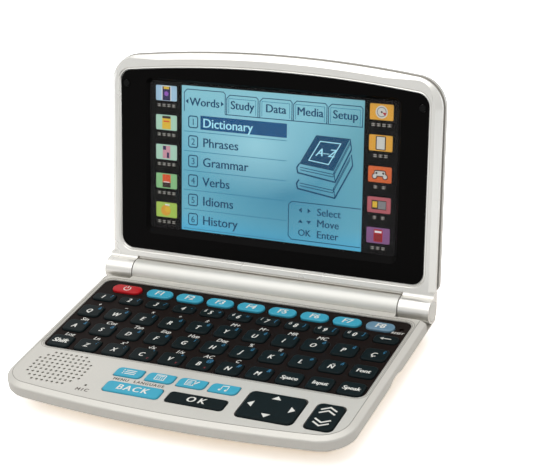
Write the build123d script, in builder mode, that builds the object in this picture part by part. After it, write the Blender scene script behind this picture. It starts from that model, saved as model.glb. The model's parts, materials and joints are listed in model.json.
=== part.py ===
from build123d import *
from math import cos, radians, sin, sqrt
import os

# Pocket electronic dictionary: a keyboard base and a leaning screen lid on a barrel hinge.
# Millimetres. +X is the user's right, -Y faces the user, +Z is up.
# The origin is on the table, under the middle of the open dictionary's bounding box.

os.makedirs("parts", exist_ok=True)

# ---------------------------------------------------------------- driving dimensions

# Base case
case_half_width = 63.0
deck_front = 8.15            # from the lower keys to the front edge, on the centre line
bow_radius = 450.0           # the front edge and the lid's far edge are gently bowed
case_corner = 11.0
deck_height = 12.0           # table to deck
deck_thickness = 1.5
parting_height = 7.6         # table to the joint line between the two case halves
wall = 1.5
bevel_width = 2.1
bevel_drop = 1.2
ridge_round = 0.7
skirt_height = 0.6           # upright strip of the lower case under the joint line
undercut = 8.5               # the lower case draws in this far under the front and sides
undercut_rear = 3.0
sloped_wall = 2.0
rear_wall = 1.2
seam_step = 0.3              # the lower case is this much smaller than the upper at the joint line
floor = 1.4
foot_height = 0.8
foot_radius = 4.0
foot_chamfer = 0.25
foot_side = 17.0             # foot centres, in from the case's sides and front edge
foot_front = 17.0
foot_rear = 5.7              # and in from the rear edge of the underside

# Hinge
barrel_radius = 4.2
knuckle_length = 11.1
barrel_bore = 3.2
knuckle_gap = 0.4
knuckle_notch = 2.0          # free space in front of the knuckles
knuckle_fillet = 1.2
arm_reach = 6.0              # the knuckle's arm, up the lid
shaft_radius = 1.2
cartridge_length = 15.0
sleeve_radius = 2.6
sleeve_bore = 2.0
bushing_length = 8.0
shaft_overlap = 13.5         # the shaft and the sleeve reach this far into the barrel
sleeve_overlap = 11.5
shaft_cover = 1.0            # solid end of the knuckle outside them
cap_radius = 3.3
cap_thickness = 0.9
cap_proud = 0.2

# Lid, as offsets from the hinge axis: along the lid, and square to its face
lid_lean = 15.8              # degrees past upright at rest
lid_overhang = 0.4           # the closed lid is a little larger than the case
lid_corner = 11.0
lid_gap = 0.8                # between the closed lid's rim and the deck
lid_clear = 1.1              # bottom edge of the lid, clear of the barrel
frame_depth = 2.8
frame_inset = 0.4            # the front frame is a little smaller than the rear cover
frame_bevel_width = 2.0
frame_bevel_depth = 1.7
groove_height = 0.8
groove_depth = 1.3
cover_depth = 4.0
cover_wall = 1.3
cover_edge_round = 2.6
cover_near_corner = 3.0
bezel_side = 4.2             # frame width beside, below and above the bezel
bezel_bottom = 2.3
bezel_top = 5.2
bezel_corner = 5.0
bezel_recess = 0.8
bezel_thickness = 1.2
lip_bevel = 0.6              # bevel of the frame's lip down to the bezel
ledge_width = 4.4            # frame ledge behind the bezel
ledge_near = 3.0
skirt_wall = 1.2
icon_strip = 12.55           # window beside the screen, for the icons
window_bottom = 0.2
window_top = 1.0
window_corner = 1.6
window_side_bevel = 1.2
window_near_bevel = 2.3
window_far_bevel = 1.0
lens_margin = 2.4
lens_thickness = 0.6
card_thickness = 0.2
screen_width = 70.1          # 3.5 inch active area
screen_height = 52.6
screen_near = 16.7
glass_margin = 2.6
lcd_thickness = 1.6
backlight_thickness = 1.4
flex_thickness = 0.25
flex_overlap = 1.0
plug_radius = 1.2
plug_side = 2.8              # plug centres, in from the bezel's edges
plug_top = 8.6
plug_proud = 0.5
plug_thickness = 1.1
plug_chamfer = 0.2
lid_screw_radius = 0.7
lid_screw_head_radius = 1.05
lid_screw_head = 0.5
lid_screw_shank = 3.2
lid_boss_radius = 1.9
flex_width = 9.0
flex_x = -20.0

# Keypad panel
panel_side = 3.6             # deck strip beside the panel
panel_near = 8.3
panel_rest = 0.65            # panel strip in front of the last row
panel_corner = 3.2
panel_drop = 0.5             # panel face below the deck
panel_flange = 0.8
panel_flange_thickness = 0.6
panel_rim_width = 0.9
panel_rim_drop = 0.2

# Keys
column_count = 11
pill_row_offset = 5.1        # row centre lines, each from the one behind it
digit_row_offset = 6.9
first_row_offset = 9.7
row_pitch = 10.25
row_count = 3
key_spacing = 2.1            # between the keys of a row
key_depth = 7.1
digit_depth = 4.6
key_corner = 1.7
key_top = 0.1                # panel keys above the deck
key_edge = 0.6
key_lip = 0.5
key_lip_thickness = 0.6
key_clearance = 0.2
key_travel = 0.7
power_inset = 11.0           # power key's centre, in from the panel's edge
pill_start = 13.4            # first function key, from the power key
pill_end = 10.05             # last function key, in from the panel's edge
pill_count = 8
pill_spacing = 1.75
pill_depth = 4.8
pill_top = 0.3
power_width = 11.7
deck_key_top = 0.45          # lower keys above the deck
group_x = -2.7               # centre of the shortcut, back and confirm keys
shortcut_row_offset = 7.7    # from the panel's front edge
shortcut_pitch = 11.65
shortcut_count = 4
shortcut_width = 10.1
shortcut_depth = 4.9
shortcut_round = 1.9
shortcut_tip = 0.7
shortcut_edge = 0.45
command_row_offset = 8.5
command_depth = 5.9
command_width = 20.8
command_spacing = 2.4
command_corner = 1.5
pad_spacing = 18.4           # between the centres of the pad and the rocker
pad_offset = 12.9            # from the panel's front edge
pad_width = 19.8
pad_depth = 14.4
pad_corner = 2.2
pad_clearance = 0.35
pad_block = 1.85
pad_pivot_radius = 0.8
pad_pivot_length = 6.0
pad_plate_width = 15.0
pad_plate_depth = 10.0
pad_plate_thickness = 0.6
pad_plate_lift = 0.5         # plate above the domes
pad_ridge_radius = 0.45
rocker_side = 10.8           # rocker's centre, in from the case's side
rocker_offset = 13.1
rocker_width = 9.5
rocker_depth = 13.8
rocker_block = 1.55
rocker_web = 3.0
rocker_pin_radius = 0.6
rocker_pin_length = 1.2
rocker_foot_spacing = 9.6
rocker_foot_drop = 0.35
plunger_radius = 1.3

# Electronics
mat_thickness = 0.3
dome_height = 0.2
dome_radius = 1.4
board_thickness = 1.0
board_side = 2.8             # board edge, in from the case's outside
board_rear = 1.1             # and in front of the case's rear wall
board_front = 6.0
board_corner = 8.0
chip_height = 1.3
chip_side = 11.4             # chip centres, out from the battery bay
chip_sizes = ((1, 27.0, 10.0, 10.0), (1, 44.0, 8.0, 13.0), (-1, 30.0, 12.0, 8.0))
board_clearance = 0.5
grille_side = 17.7           # grille centre, in from the case's side
grille_pitch = 2.0
grille_hole = 0.5
grille_rows = (7, 9, 11, 11, 11, 11, 11, 9, 7)
speaker_radius = 10.0
speaker_spacing = 0.4        # between the speaker and the panel's flange
speaker_height = 3.4
speaker_rim = 0.6
speaker_rim_width = 1.0
speaker_basket = 1.6
speaker_magnet_radius = 5.5
speaker_dish = 0.9
speaker_cap_radius = 3.5
mic_side = 14.3              # microphone, from the speaker's centre
mic_front = 6.7
mic_hole = 0.5
mic_radius = 2.0
mic_height = 2.4
reset_side = 2.7             # reset hole, in from the panel's edges
reset_rear = 4.7
reset_hole = 0.8
reset_plunger_radius = 0.6
reset_plunger_length = 1.4
reset_switch_size = 2.4
reset_switch_height = 1.2
reset_bore_depth = 0.7
reset_flange_radius = 1.0
reset_flange = 0.3

# Ports
port_v = 35.5
port_recess_height = 1.0     # how far the port scoop rises above the joint line
port_recess_length = 12.4
port_face = 2.8              # port face, in from the case side
port_wall = 1.2
port_roof = 0.8
jack_radius = 1.3
jack_nose_radius = 1.8
jack_depth = 10.5
jack_length = 11.5
jack_width = 5.0
jack_height = 3.4
jack_drop = 1.15             # jack axis below the joint line
usb_x = -15.0
usb_width = 7.6
usb_height = 3.8
usb_length = 12.0
usb_leg = 0.5
usb_shell = 0.4

# Battery
battery_width = 50.0
battery_length = 34.0
battery_height = 4.0
battery_round = 1.5
battery_near = 20.0
bay_clearance = 0.6
bay_wall = 1.0
cover_side = 2.5             # cover beyond the battery
cover_end = 3.5
cover_thickness = 0.9
cover_pocket = 1.0
cover_slide = 8.0
tongue_length = 5.0
tongue_reach = 0.8
tongue_thickness = 0.45
tongue_rear = 12.0
tongue_front = 9.5           # front tongues, in from the cover's front edge
contact_width = 1.6
contact_pitch = 6.0
contact_inset = 2.5          # contacts, in from the battery's rear end
contact_length = 4.0
contact_foot = 1.5
contact_sheet = 0.2
grip_rib = 0.25
grip_width = 12.0
grip_pitch = 1.4
grip_count = 5

# Fasteners
rear_screw_x = 35.0
rear_screw_inset = 1.6       # screw centres, in from the deck's rear edge
front_screw_offset = 11.3    # and from the panel's front edge
back_screw_spacing = 3.3     # beside the back key and the navigation pad
pad_screw_spacing = 2.35
screw_radius = 0.7
screw_head_radius = 1.4
screw_head = 0.9
screw_shank = 8.2
cross_length = 1.6
cross_width = 0.35
cross_depth = 0.45
post_radius = 1.4
boss_radius = 2.4

# Clearances
fit = 0.1                    # loose fit between seated pieces
running = 0.05               # radial, shaft in its bearing
thread_fit = 0.02

# ---------------------------------------------------------------- derived heights and places

hinge_height = deck_height
lean = radians(lid_lean)

panel_half_width = case_half_width - panel_side
column_pitch = 2 * panel_half_width / column_count
key_width = column_pitch - key_spacing
pill_row = panel_near + pill_row_offset
digit_row = pill_row + digit_row_offset
letter_rows = [digit_row + first_row_offset + i * row_pitch for i in range(row_count)]
panel_far = letter_rows[-1] + key_depth / 2 + panel_rest
power_x = power_inset - panel_half_width
pill_first = power_x + pill_start
pill_pitch = (panel_half_width - pill_end - pill_first) / (pill_count - 1)
pill_width = pill_pitch - pill_spacing
reset_x = panel_half_width - reset_side
reset_v = panel_near + reset_rear
shortcut_row = panel_far + shortcut_row_offset
shortcut_first = group_x - (shortcut_count - 1) / 2 * shortcut_pitch
command_row = shortcut_row + command_row_offset
back_x = group_x - (command_width + command_spacing) / 2
confirm_x = group_x + (command_width + command_spacing) / 2
rocker_x = case_half_width - rocker_side
rocker_v = panel_far + rocker_offset
pad_x = rocker_x - pad_spacing
pad_v = panel_far + pad_offset
case_reach = command_row + command_depth / 2 + deck_front

knuckle_end = case_half_width
knuckle_start = knuckle_end - knuckle_length
barrel_half_length = knuckle_start - knuckle_gap
shaft_start = barrel_half_length - shaft_overlap
shaft_end = knuckle_end - shaft_cover
sleeve_length = shaft_end - fit - barrel_half_length + sleeve_overlap

lid_half_width = case_half_width + lid_overhang
lid_reach = case_reach + lid_overhang
lid_near = barrel_radius + lid_clear
bezel_half_width = lid_half_width - bezel_side
bezel_near = lid_near + bezel_bottom
bezel_reach = lid_reach - bezel_top
window_half_width = screen_width / 2 + icon_strip
window_near = screen_near - window_bottom
window_far = screen_near + screen_height + window_top
plug_x = bezel_half_width - plug_side
plug_v = bezel_reach - plug_top
rim_n = -lid_gap
bezel_n = rim_n - bezel_recess
ledge_n = bezel_n - bezel_thickness
frame_back_n = rim_n - frame_depth - groove_height
groove_n = frame_back_n + groove_height
lid_back_n = frame_back_n - cover_depth
lens_back_n = ledge_n - lens_thickness
card_back_n = lens_back_n - card_thickness
lcd_back_n = card_back_n - lcd_thickness
light_back_n = lcd_back_n - backlight_thickness

# The lid's rounded far edge reaches furthest back, the case's front edge furthest forward.
rear_reach = (
    (lid_reach - cover_edge_round) * sin(lean)
    + (-lid_back_n - cover_edge_round) * cos(lean)
    + cover_edge_round
)
hinge_y = (case_reach - rear_reach) / 2

deck_under = deck_height - deck_thickness
panel_face = deck_height - panel_drop
panel_under = deck_under - panel_flange_thickness
lip_top = panel_under - fit
lip_bottom = lip_top - key_lip_thickness
deck_lip_top = deck_under - fit
mat_top = lip_bottom - key_travel - fit - dome_height
board_top = mat_top - mat_thickness
board_under = board_top - board_thickness
floor_top = foot_height + floor
slope_top = parting_height - skirt_height
deck_rear = barrel_radius + fit
notch_front = barrel_radius + knuckle_notch
board_half_width = case_half_width - board_side
board_near = notch_front + rear_wall + board_rear
board_far = case_reach - board_front
grille_x = grille_side - case_half_width
grille_v = panel_far + panel_flange + speaker_spacing + speaker_radius
mic_x = grille_x + mic_side
mic_v = grille_v + mic_front
front_screw_v = panel_far + front_screw_offset
rear_screw_v = deck_rear + rear_screw_inset
back_screw_x = back_x - command_width / 2 - back_screw_spacing
pad_screw_x = pad_x - pad_width / 2 - pad_screw_spacing
screw_places = [
    (-rear_screw_x, rear_screw_v),
    (rear_screw_x, rear_screw_v),
    (back_screw_x, front_screw_v),
    (pad_screw_x, front_screw_v),
]
cap_seat = cap_thickness - cap_proud
columns = [(i - (column_count - 1) / 2) * column_pitch for i in range(column_count)]
pills = [pill_first + i * pill_pitch for i in range(pill_count)]
shortcuts = [shortcut_first + i * shortcut_pitch for i in range(shortcut_count)]
screen_v = screen_near + screen_height / 2
panel_v = (panel_near + panel_far) / 2
panel_depth = panel_far - panel_near

# plan: x to the right, y towards the rear, seen from above, on the hinge axis
# reach_plan: the same, with its y towards the user, for the bowed outlines
# lid_plane: x to the right, y up the lid, normal towards the user
# front_plan: x to the right, y up, offsets towards the user
plan = Plane(origin=(0, hinge_y, 0))
reach_plan = Plane(origin=(0, hinge_y, 0), x_dir=(-1, 0, 0), z_dir=(0, 0, 1))
lid_plane = Plane(
    origin=(0, hinge_y, hinge_height),
    x_dir=(1, 0, 0),
    z_dir=(0, -cos(lean), sin(lean)),
)
lid_normal = Axis(lid_plane.origin, lid_plane.z_dir)
# side planes, seen from the right: local x towards the rear (or the lid's back), local y up
side_plan = Plane(origin=(0, hinge_y, 0), x_dir=(0, 1, 0), z_dir=(1, 0, 0))
front_plan = Plane(origin=(0, hinge_y, 0), x_dir=(1, 0, 0), z_dir=(0, -1, 0))
lid_side = Plane(
    origin=(0, hinge_y, hinge_height),
    x_dir=(0, cos(lean), -sin(lean)),
    z_dir=(1, 0, 0),
)


# ---------------------------------------------------------------- helpers


def save(piece, name):
    """Labels a finished sub-part and writes its STEP file."""
    piece.part.label = name
    export_step(piece.part, f"parts/{name}.step")


def bowed_plate(plane, half_width, near, reach, far_corner, near_corner=0.0):
    """A plate outline with straight sides and a bowed far edge."""
    side_reach = reach - bow_radius + sqrt(bow_radius**2 - half_width**2)
    with BuildSketch(plane) as plate:
        with BuildLine():
            Polyline(
                (-half_width, side_reach),
                (-half_width, near),
                (half_width, near),
                (half_width, side_reach),
            )
            ThreePointArc((half_width, side_reach), (0, reach), (-half_width, side_reach))
        make_face()
        fillet(plate.vertices().group_by(Axis.Y)[-1], far_corner)
        if near_corner:
            fillet(plate.vertices().group_by(Axis.Y)[0], near_corner)
    return plate.sketch


def rounded_plates(plane, places, width, depth, corner):
    """One rounded rectangle at each place (x, distance from the hinge axis)."""
    with BuildSketch(plane) as plates:
        with Locations(*[(x, -v) for x, v in places]):
            RectangleRounded(width, depth, corner)
    return plates.sketch


def blocks(plane, places, width, depth):
    """One plain rectangle at each place (x, distance from the hinge axis)."""
    with BuildSketch(plane) as plates:
        with Locations(*[(x, -v) for x, v in places]):
            Rectangle(width, depth)
    return plates.sketch


def pill_plates(plane, places, width, depth):
    """One stadium at each place (x, distance from the hinge axis)."""
    with BuildSketch(plane) as plates:
        with Locations(*[(x, -v) for x, v in places]):
            SlotOverall(width, depth)
    return plates.sketch


def discs(plane, places, radius):
    """One disc at each place (x, distance from the hinge axis)."""
    with BuildSketch(plane) as plates:
        with Locations(*[(x, -v) for x, v in places]):
            Circle(radius)
    return plates.sketch


def leaf_plates(plane, places, width, depth, large, small):
    """Rectangles rounded more at their rear left and front right corners."""
    with BuildSketch(plane) as plates:
        with Locations(*[(x, -v) for x, v in places]):
            Rectangle(width, depth)
        for x, v in places:
            for side_x, side_y in ((-1, 1), (1, -1), (1, 1), (-1, -1)):
                corner = (x + side_x * width / 2, -v + side_y * depth / 2, 0)
                radius = large if side_x * side_y < 0 else small
                fillet(plates.vertices().sort_by_distance(corner)[0], radius)
    return plates.sketch


def lid_window(plane, half_width, near, far, corner):
    """A rounded opening on the lid."""
    with BuildSketch(plane) as opening:
        with Locations((0, (near + far) / 2)):
            RectangleRounded(2 * half_width, far - near, corner)
    return opening.sketch


def lid_discs(plane, places, radius):
    """One disc at each place (x, distance up the lid)."""
    with BuildSketch(plane) as plates:
        with Locations(*places):
            Circle(radius)
    return plates.sketch


def rod(plane, local_x, local_y, radius):
    """A disc on a side plane, for pieces that lie along X."""
    with BuildSketch(plane) as section:
        with Locations((local_x, local_y)):
            Circle(radius)
    return section.sketch


def grille_places():
    """Hole centres of the speaker grille, row by row from the rear."""
    places = []
    for row, count in enumerate(grille_rows):
        v = grille_v + (row - (len(grille_rows) - 1) / 2) * grille_pitch
        for i in range(count):
            places.append((grille_x + (i - (count - 1) / 2) * grille_pitch, v))
    return places


# ---------------------------------------------------------------- base: lower case

slope_height = slope_top - foot_height
lower_half_width = case_half_width - seam_step
lower_reach = case_reach - seam_step
inner_low = undercut * (1 - floor / slope_height) + sloped_wall
inner_low_rear = undercut_rear * (1 - floor / slope_height) + sloped_wall
bay_half_width = battery_width / 2 + bay_clearance
bay_near = battery_near - bay_clearance
bay_far = battery_near + battery_length + bay_clearance
cover_half_width = battery_width / 2 + cover_side
cover_front = battery_near + battery_length + cover_end
tongue_v = (tongue_rear, cover_front - tongue_front)
bay_v = (bay_near + bay_far) / 2
bay_length = bay_far - bay_near
cover_rear = undercut_rear - barrel_radius
cover_length = cover_front - cover_rear
pocket_top = foot_height + cover_pocket
tongue_top = foot_height + cover_thickness
port_top = parting_height + port_recess_height
port_face_x = case_half_width - port_face
jack_z = parting_height - jack_drop
usb_z = floor_top + usb_height / 2 + fit
usb_rear = barrel_radius - undercut_rear / 2
battery_bottom = tongue_top + 2 * fit
boss_top = board_under - fit
foot_x = case_half_width - foot_side
feet = [(x, v) for x in (-foot_x, foot_x) for v in (cover_rear + foot_rear, case_reach - foot_front)]


def port_scoop():
    """Cuts the scoop that frees the port on the right side, open at the bottom."""
    rise = port_top - foot_height
    half = port_recess_length / 2
    with BuildSketch(side_plan.offset(port_face_x)) as scoop:
        with BuildLine():
            ThreePointArc(
                (-port_v - half, parting_height - port_recess_height),
                (-port_v, port_top),
                (-port_v + half, parting_height - port_recess_height),
            )
            Polyline(
                (-port_v + half, parting_height - port_recess_height),
                (-port_v + half, port_top - rise),
                (-port_v - half, port_top - rise),
                (-port_v - half, parting_height - port_recess_height),
            )
        make_face()
    extrude(scoop.sketch, amount=port_face + fit, mode=Mode.SUBTRACT)


with BuildPart() as base_lower_case:
    # upright skirt, then the long undercut slope down to the underside
    rim_outline = bowed_plate(
        reach_plan.offset(slope_top), lower_half_width, -barrel_radius, lower_reach, case_corner, wall
    )
    extrude(rim_outline, amount=skirt_height)
    foot_outline = bowed_plate(
        reach_plan.offset(foot_height),
        lower_half_width - undercut,
        undercut_rear - barrel_radius,
        lower_reach - undercut,
        case_corner - undercut,
        wall,
    )
    loft(sections=[foot_outline, rim_outline], ruled=True)
    outer_form = base_lower_case.part
    # cavity
    cavity_outline = bowed_plate(
        reach_plan.offset(slope_top),
        lower_half_width - sloped_wall,
        sloped_wall - barrel_radius,
        lower_reach - sloped_wall,
        case_corner - sloped_wall,
    )
    extrude(cavity_outline, amount=skirt_height, mode=Mode.SUBTRACT)
    cavity_floor = bowed_plate(
        reach_plan.offset(floor_top),
        lower_half_width - inner_low,
        inner_low_rear - barrel_radius,
        lower_reach - inner_low,
        case_corner - inner_low,
    )
    loft(sections=[cavity_floor, cavity_outline], ruled=True, mode=Mode.SUBTRACT)
    # shelves that close the case under the lid's knuckles
    shelf_width = lower_half_width - knuckle_start + wall
    shelf_depth = barrel_radius + notch_front + rear_wall
    shelf_x = knuckle_start - wall + shelf_width / 2
    shelf_v = notch_front + rear_wall - shelf_depth / 2
    shelves = [(-shelf_x, shelf_v), (shelf_x, shelf_v)]
    extrude(blocks(plan.offset(slope_top), shelves, shelf_width, shelf_depth), amount=skirt_height)
    # battery bay, screw bosses and the wall behind the port
    bay_outer = blocks(
        plan.offset(foot_height), [(0, bay_v)], 2 * (bay_half_width + bay_wall), bay_length + 2 * bay_wall
    )
    extrude(bay_outer, amount=board_under - fit - foot_height)
    extrude(discs(plan.offset(foot_height), screw_places, boss_radius), amount=boss_top - foot_height)
    port_block = blocks(
        plan.offset(foot_height),
        [(port_face_x - port_wall / 2, port_v)],
        port_wall,
        port_recess_length + 2 * port_wall,
    )
    extrude(port_block, amount=parting_height - foot_height)
    add(outer_form, mode=Mode.INTERSECT)
    # battery bay opening
    bay_inner = blocks(plan, [(0, bay_v)], 2 * bay_half_width, bay_length)
    extrude(bay_inner, amount=parting_height, mode=Mode.SUBTRACT)
    # channel and catch grooves of the battery cover
    channel_depth = cover_front + fit + 2 * barrel_radius
    channel = blocks(
        plan.offset(foot_height),
        [(0, cover_front + fit - channel_depth / 2)],
        2 * (cover_half_width + fit),
        channel_depth,
    )
    extrude(channel, amount=cover_pocket, mode=Mode.SUBTRACT)
    groove_x = cover_half_width + tongue_reach / 2 + fit / 2
    groove_length = tongue_length + cover_slide + 2 * fit
    exit_length = tongue_length + 2 * fit
    for v in tongue_v:
        sides = [(-groove_x, v - cover_slide / 2), (groove_x, v - cover_slide / 2)]
        groove = blocks(
            plan.offset(tongue_top - tongue_thickness - fit), sides, tongue_reach + fit, groove_length
        )
        extrude(groove, amount=pocket_top - tongue_top + tongue_thickness + fit, mode=Mode.SUBTRACT)
        exits = [(-groove_x, v - cover_slide), (groove_x, v - cover_slide)]
        notch = blocks(plan.offset(foot_height), exits, tongue_reach + fit, exit_length)
        extrude(notch, amount=cover_pocket, mode=Mode.SUBTRACT)
    # room for the earphone jack behind the port wall
    jack_room = blocks(
        plan.offset(jack_z - jack_height / 2 - fit),
        [(port_face_x - port_wall - jack_length / 2, port_v)],
        jack_length,
        jack_width + 2 * fit,
    )
    extrude(jack_room, amount=parting_height, mode=Mode.SUBTRACT)
    # screw holes with sunk heads
    extrude(discs(plan, screw_places, screw_radius + fit), amount=parting_height, mode=Mode.SUBTRACT)
    extrude(
        discs(plan.offset(foot_height), screw_places, screw_head_radius + fit),
        amount=screw_head + fit,
        mode=Mode.SUBTRACT,
    )
    # ports
    port_scoop()
    extrude(
        rod(side_plan.offset(port_face_x - port_wall), -port_v, jack_z, jack_nose_radius + fit),
        amount=port_face,
        mode=Mode.SUBTRACT,
    )
    with BuildSketch(front_plan.offset(-barrel_radius)):
        with Locations((usb_x, usb_z)):
            Rectangle(usb_width + 2 * fit, usb_height + 2 * fit)
    extrude(amount=barrel_radius + inner_low_rear, mode=Mode.SUBTRACT)
save(base_lower_case, "base_lower_case")

# ---------------------------------------------------------------- base: upper case

letter_places = [(x, row) for row in letter_rows for x in columns]
digit_places = [(x, digit_row) for x in columns]
pill_places = [(x, pill_row) for x in pills]
shortcut_places = [(x, shortcut_row) for x in shortcuts]
command_places = [(back_x, command_row), (confirm_x, command_row)]
cavity_height = deck_under - parting_height

with BuildPart() as base_upper_case:
    side_outline = bowed_plate(
        reach_plan.offset(parting_height), case_half_width, deck_rear, case_reach, case_corner
    )
    extrude(side_outline, amount=deck_height - bevel_drop - parting_height)
    ridge_outline = bowed_plate(
        reach_plan.offset(deck_height - bevel_drop), case_half_width, deck_rear, case_reach, case_corner
    )
    deck_outline = bowed_plate(
        reach_plan.offset(deck_height),
        case_half_width - bevel_width,
        deck_rear,
        case_reach - bevel_width,
        case_corner - bevel_width,
    )
    loft(sections=[ridge_outline, deck_outline], ruled=True)
    ridge_height = deck_height - bevel_drop
    ridge = base_upper_case.edges().filter_by_position(Axis.Z, ridge_height - fit, ridge_height + fit)
    rear_line = hinge_y - deck_rear
    fillet([edge for edge in ridge if edge.center().Y < rear_line - fit], ridge_round)
    # cavity, stepped round the knuckle notches
    cavity = bowed_plate(
        reach_plan.offset(parting_height),
        case_half_width - wall,
        notch_front + rear_wall,
        case_reach - wall,
        case_corner - wall,
    )
    extrude(cavity, amount=cavity_height, mode=Mode.SUBTRACT)
    middle_depth = notch_front - deck_rear
    middle_v = deck_rear + rear_wall + middle_depth / 2
    middle = blocks(
        plan.offset(parting_height), [(0, middle_v)], 2 * (barrel_half_length - rear_wall), middle_depth
    )
    extrude(middle, amount=cavity_height, mode=Mode.SUBTRACT)
    notch_width = case_half_width - barrel_half_length
    notch_x = barrel_half_length + notch_width / 2
    notches = [(-notch_x, notch_front / 2), (notch_x, notch_front / 2)]
    extrude(
        blocks(plan.offset(parting_height), notches, notch_width, notch_front),
        amount=deck_height - parting_height,
        mode=Mode.SUBTRACT,
    )
    # screw posts and the wall behind the port
    extrude(
        discs(plan.offset(boss_top + fit), screw_places, post_radius),
        amount=deck_under - boss_top - fit,
    )
    port_block_width = case_half_width - wall - port_face_x + port_wall
    port_block = blocks(
        plan.offset(parting_height),
        [(port_face_x - port_wall + port_block_width / 2, port_v)],
        port_block_width,
        port_recess_length + 2 * port_wall,
    )
    extrude(port_block, amount=port_recess_height + port_roof)
    extrude(
        discs(plan.offset(boss_top + fit), screw_places, screw_radius + thread_fit),
        amount=deck_under - boss_top - 2 * fit,
        mode=Mode.SUBTRACT,
    )
    # keypad opening with its sunk rim
    panel_opening = rounded_plates(
        plan.offset(deck_under),
        [(0, panel_v)],
        2 * (panel_half_width + fit),
        panel_depth + 2 * fit,
        panel_corner,
    )
    extrude(panel_opening, amount=deck_thickness, mode=Mode.SUBTRACT)
    panel_rim = rounded_plates(
        plan.offset(deck_height - panel_rim_drop),
        [(0, panel_v)],
        2 * (panel_half_width + panel_rim_width),
        panel_depth + 2 * panel_rim_width,
        panel_corner + panel_rim_width,
    )
    extrude(panel_rim, amount=panel_rim_drop, mode=Mode.SUBTRACT)
    # openings of the lower keys
    shortcut_holes = leaf_plates(
        plan.offset(deck_under),
        shortcut_places,
        shortcut_width + 2 * key_clearance,
        shortcut_depth + 2 * key_clearance,
        shortcut_round,
        shortcut_tip,
    )
    extrude(shortcut_holes, amount=deck_thickness, mode=Mode.SUBTRACT)
    command_holes = rounded_plates(
        plan.offset(deck_under),
        command_places,
        command_width + 2 * key_clearance,
        command_depth + 2 * key_clearance,
        command_corner,
    )
    extrude(command_holes, amount=deck_thickness, mode=Mode.SUBTRACT)
    pad_hole = rounded_plates(
        plan.offset(deck_under),
        [(pad_x, pad_v)],
        pad_width + 2 * pad_clearance,
        pad_depth + 2 * pad_clearance,
        pad_corner,
    )
    extrude(pad_hole, amount=deck_thickness, mode=Mode.SUBTRACT)
    rocker_hole = rounded_plates(
        plan.offset(deck_under),
        [(rocker_x, rocker_v)],
        rocker_width + 2 * pad_clearance,
        rocker_depth + 2 * pad_clearance,
        pad_corner,
    )
    extrude(rocker_hole, amount=deck_thickness, mode=Mode.SUBTRACT)
    # speaker grille and microphone hole
    extrude(
        discs(plan.offset(deck_under), grille_places(), grille_hole),
        amount=deck_thickness,
        mode=Mode.SUBTRACT,
    )
    extrude(
        discs(plan.offset(deck_under), [(mic_x, mic_v)], mic_hole),
        amount=deck_thickness,
        mode=Mode.SUBTRACT,
    )
    # port scoop and jack hole
    port_scoop()
    extrude(
        rod(side_plan.offset(port_face_x - port_wall), -port_v, jack_z, jack_nose_radius + fit),
        amount=port_wall,
        mode=Mode.SUBTRACT,
    )
save(base_upper_case, "base_upper_case")

# ---------------------------------------------------------------- base: hinge barrel and its bearings

with BuildPart() as hinge_barrel:
    with BuildSketch(side_plan.offset(-barrel_half_length)):
        with Locations((0, hinge_height)):
            Circle(barrel_radius)
        with Locations((0, (parting_height + hinge_height) / 2)):
            Rectangle(2 * barrel_radius, hinge_height - parting_height)
    extrude(amount=2 * barrel_half_length)
    bore = rod(side_plan.offset(-barrel_half_length), 0, hinge_height, barrel_bore)
    extrude(bore, amount=2 * barrel_half_length, mode=Mode.SUBTRACT)
save(hinge_barrel, "hinge_barrel")

with BuildPart() as hinge_cartridge:
    cartridge_start = side_plan.offset(barrel_half_length - cartridge_length)
    extrude(rod(cartridge_start, 0, hinge_height, barrel_bore - fit), amount=cartridge_length)
    extrude(
        rod(cartridge_start, 0, hinge_height, shaft_radius + running),
        amount=cartridge_length,
        mode=Mode.SUBTRACT,
    )
save(hinge_cartridge, "hinge_cartridge")

with BuildPart() as hinge_bushing:
    bushing_start = side_plan.offset(-barrel_half_length)
    extrude(rod(bushing_start, 0, hinge_height, barrel_bore - fit), amount=bushing_length)
    extrude(
        rod(bushing_start, 0, hinge_height, sleeve_radius + running),
        amount=bushing_length,
        mode=Mode.SUBTRACT,
    )
save(hinge_bushing, "hinge_bushing")

# ---------------------------------------------------------------- base: electronics

jack_inner_x = port_face_x - port_wall - fit - jack_length
jack_slot_width = board_half_width - jack_inner_x + 2 * board_clearance
jack_slot_x = jack_inner_x - board_clearance + jack_slot_width / 2
port_notch_depth = board_half_width - port_face_x + port_wall + 2 * board_clearance
port_notch_x = port_face_x - port_wall - board_clearance + port_notch_depth / 2
port_notch_length = port_recess_length + 2 * port_wall + 2 * board_clearance
board_screws = [place for place in screw_places if place[1] > board_near]


def board_openings(plane):
    """Outlines of what passes through the board: speaker, screw posts, earphone jack and port wall."""
    with BuildSketch(plane) as openings:
        with Locations((grille_x, -grille_v)):
            Circle(speaker_radius + board_clearance)
        with Locations(*[(x, -v) for x, v in board_screws]):
            Circle(post_radius + board_clearance)
        with Locations((jack_slot_x, -port_v)):
            Rectangle(jack_slot_width, jack_width + 2 * board_clearance)
        with Locations((port_notch_x, -port_v)):
            Rectangle(port_notch_depth, port_notch_length)
    return openings.sketch


with BuildPart() as main_board:
    board_outline = bowed_plate(
        reach_plan.offset(board_under), board_half_width, board_near, board_far, board_corner
    )
    extrude(board_outline, amount=board_thickness)
    extrude(board_openings(plan.offset(board_under)), amount=board_thickness, mode=Mode.SUBTRACT)
save(main_board, "main_board")

with BuildPart() as board_chips:
    chip_x = bay_half_width + bay_wall + chip_side
    for side, v, width, depth in chip_sizes:
        chip = blocks(plan.offset(board_under - chip_height), [(side * chip_x, v)], width, depth)
        extrude(chip, amount=chip_height)
save(board_chips, "board_chips")

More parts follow.
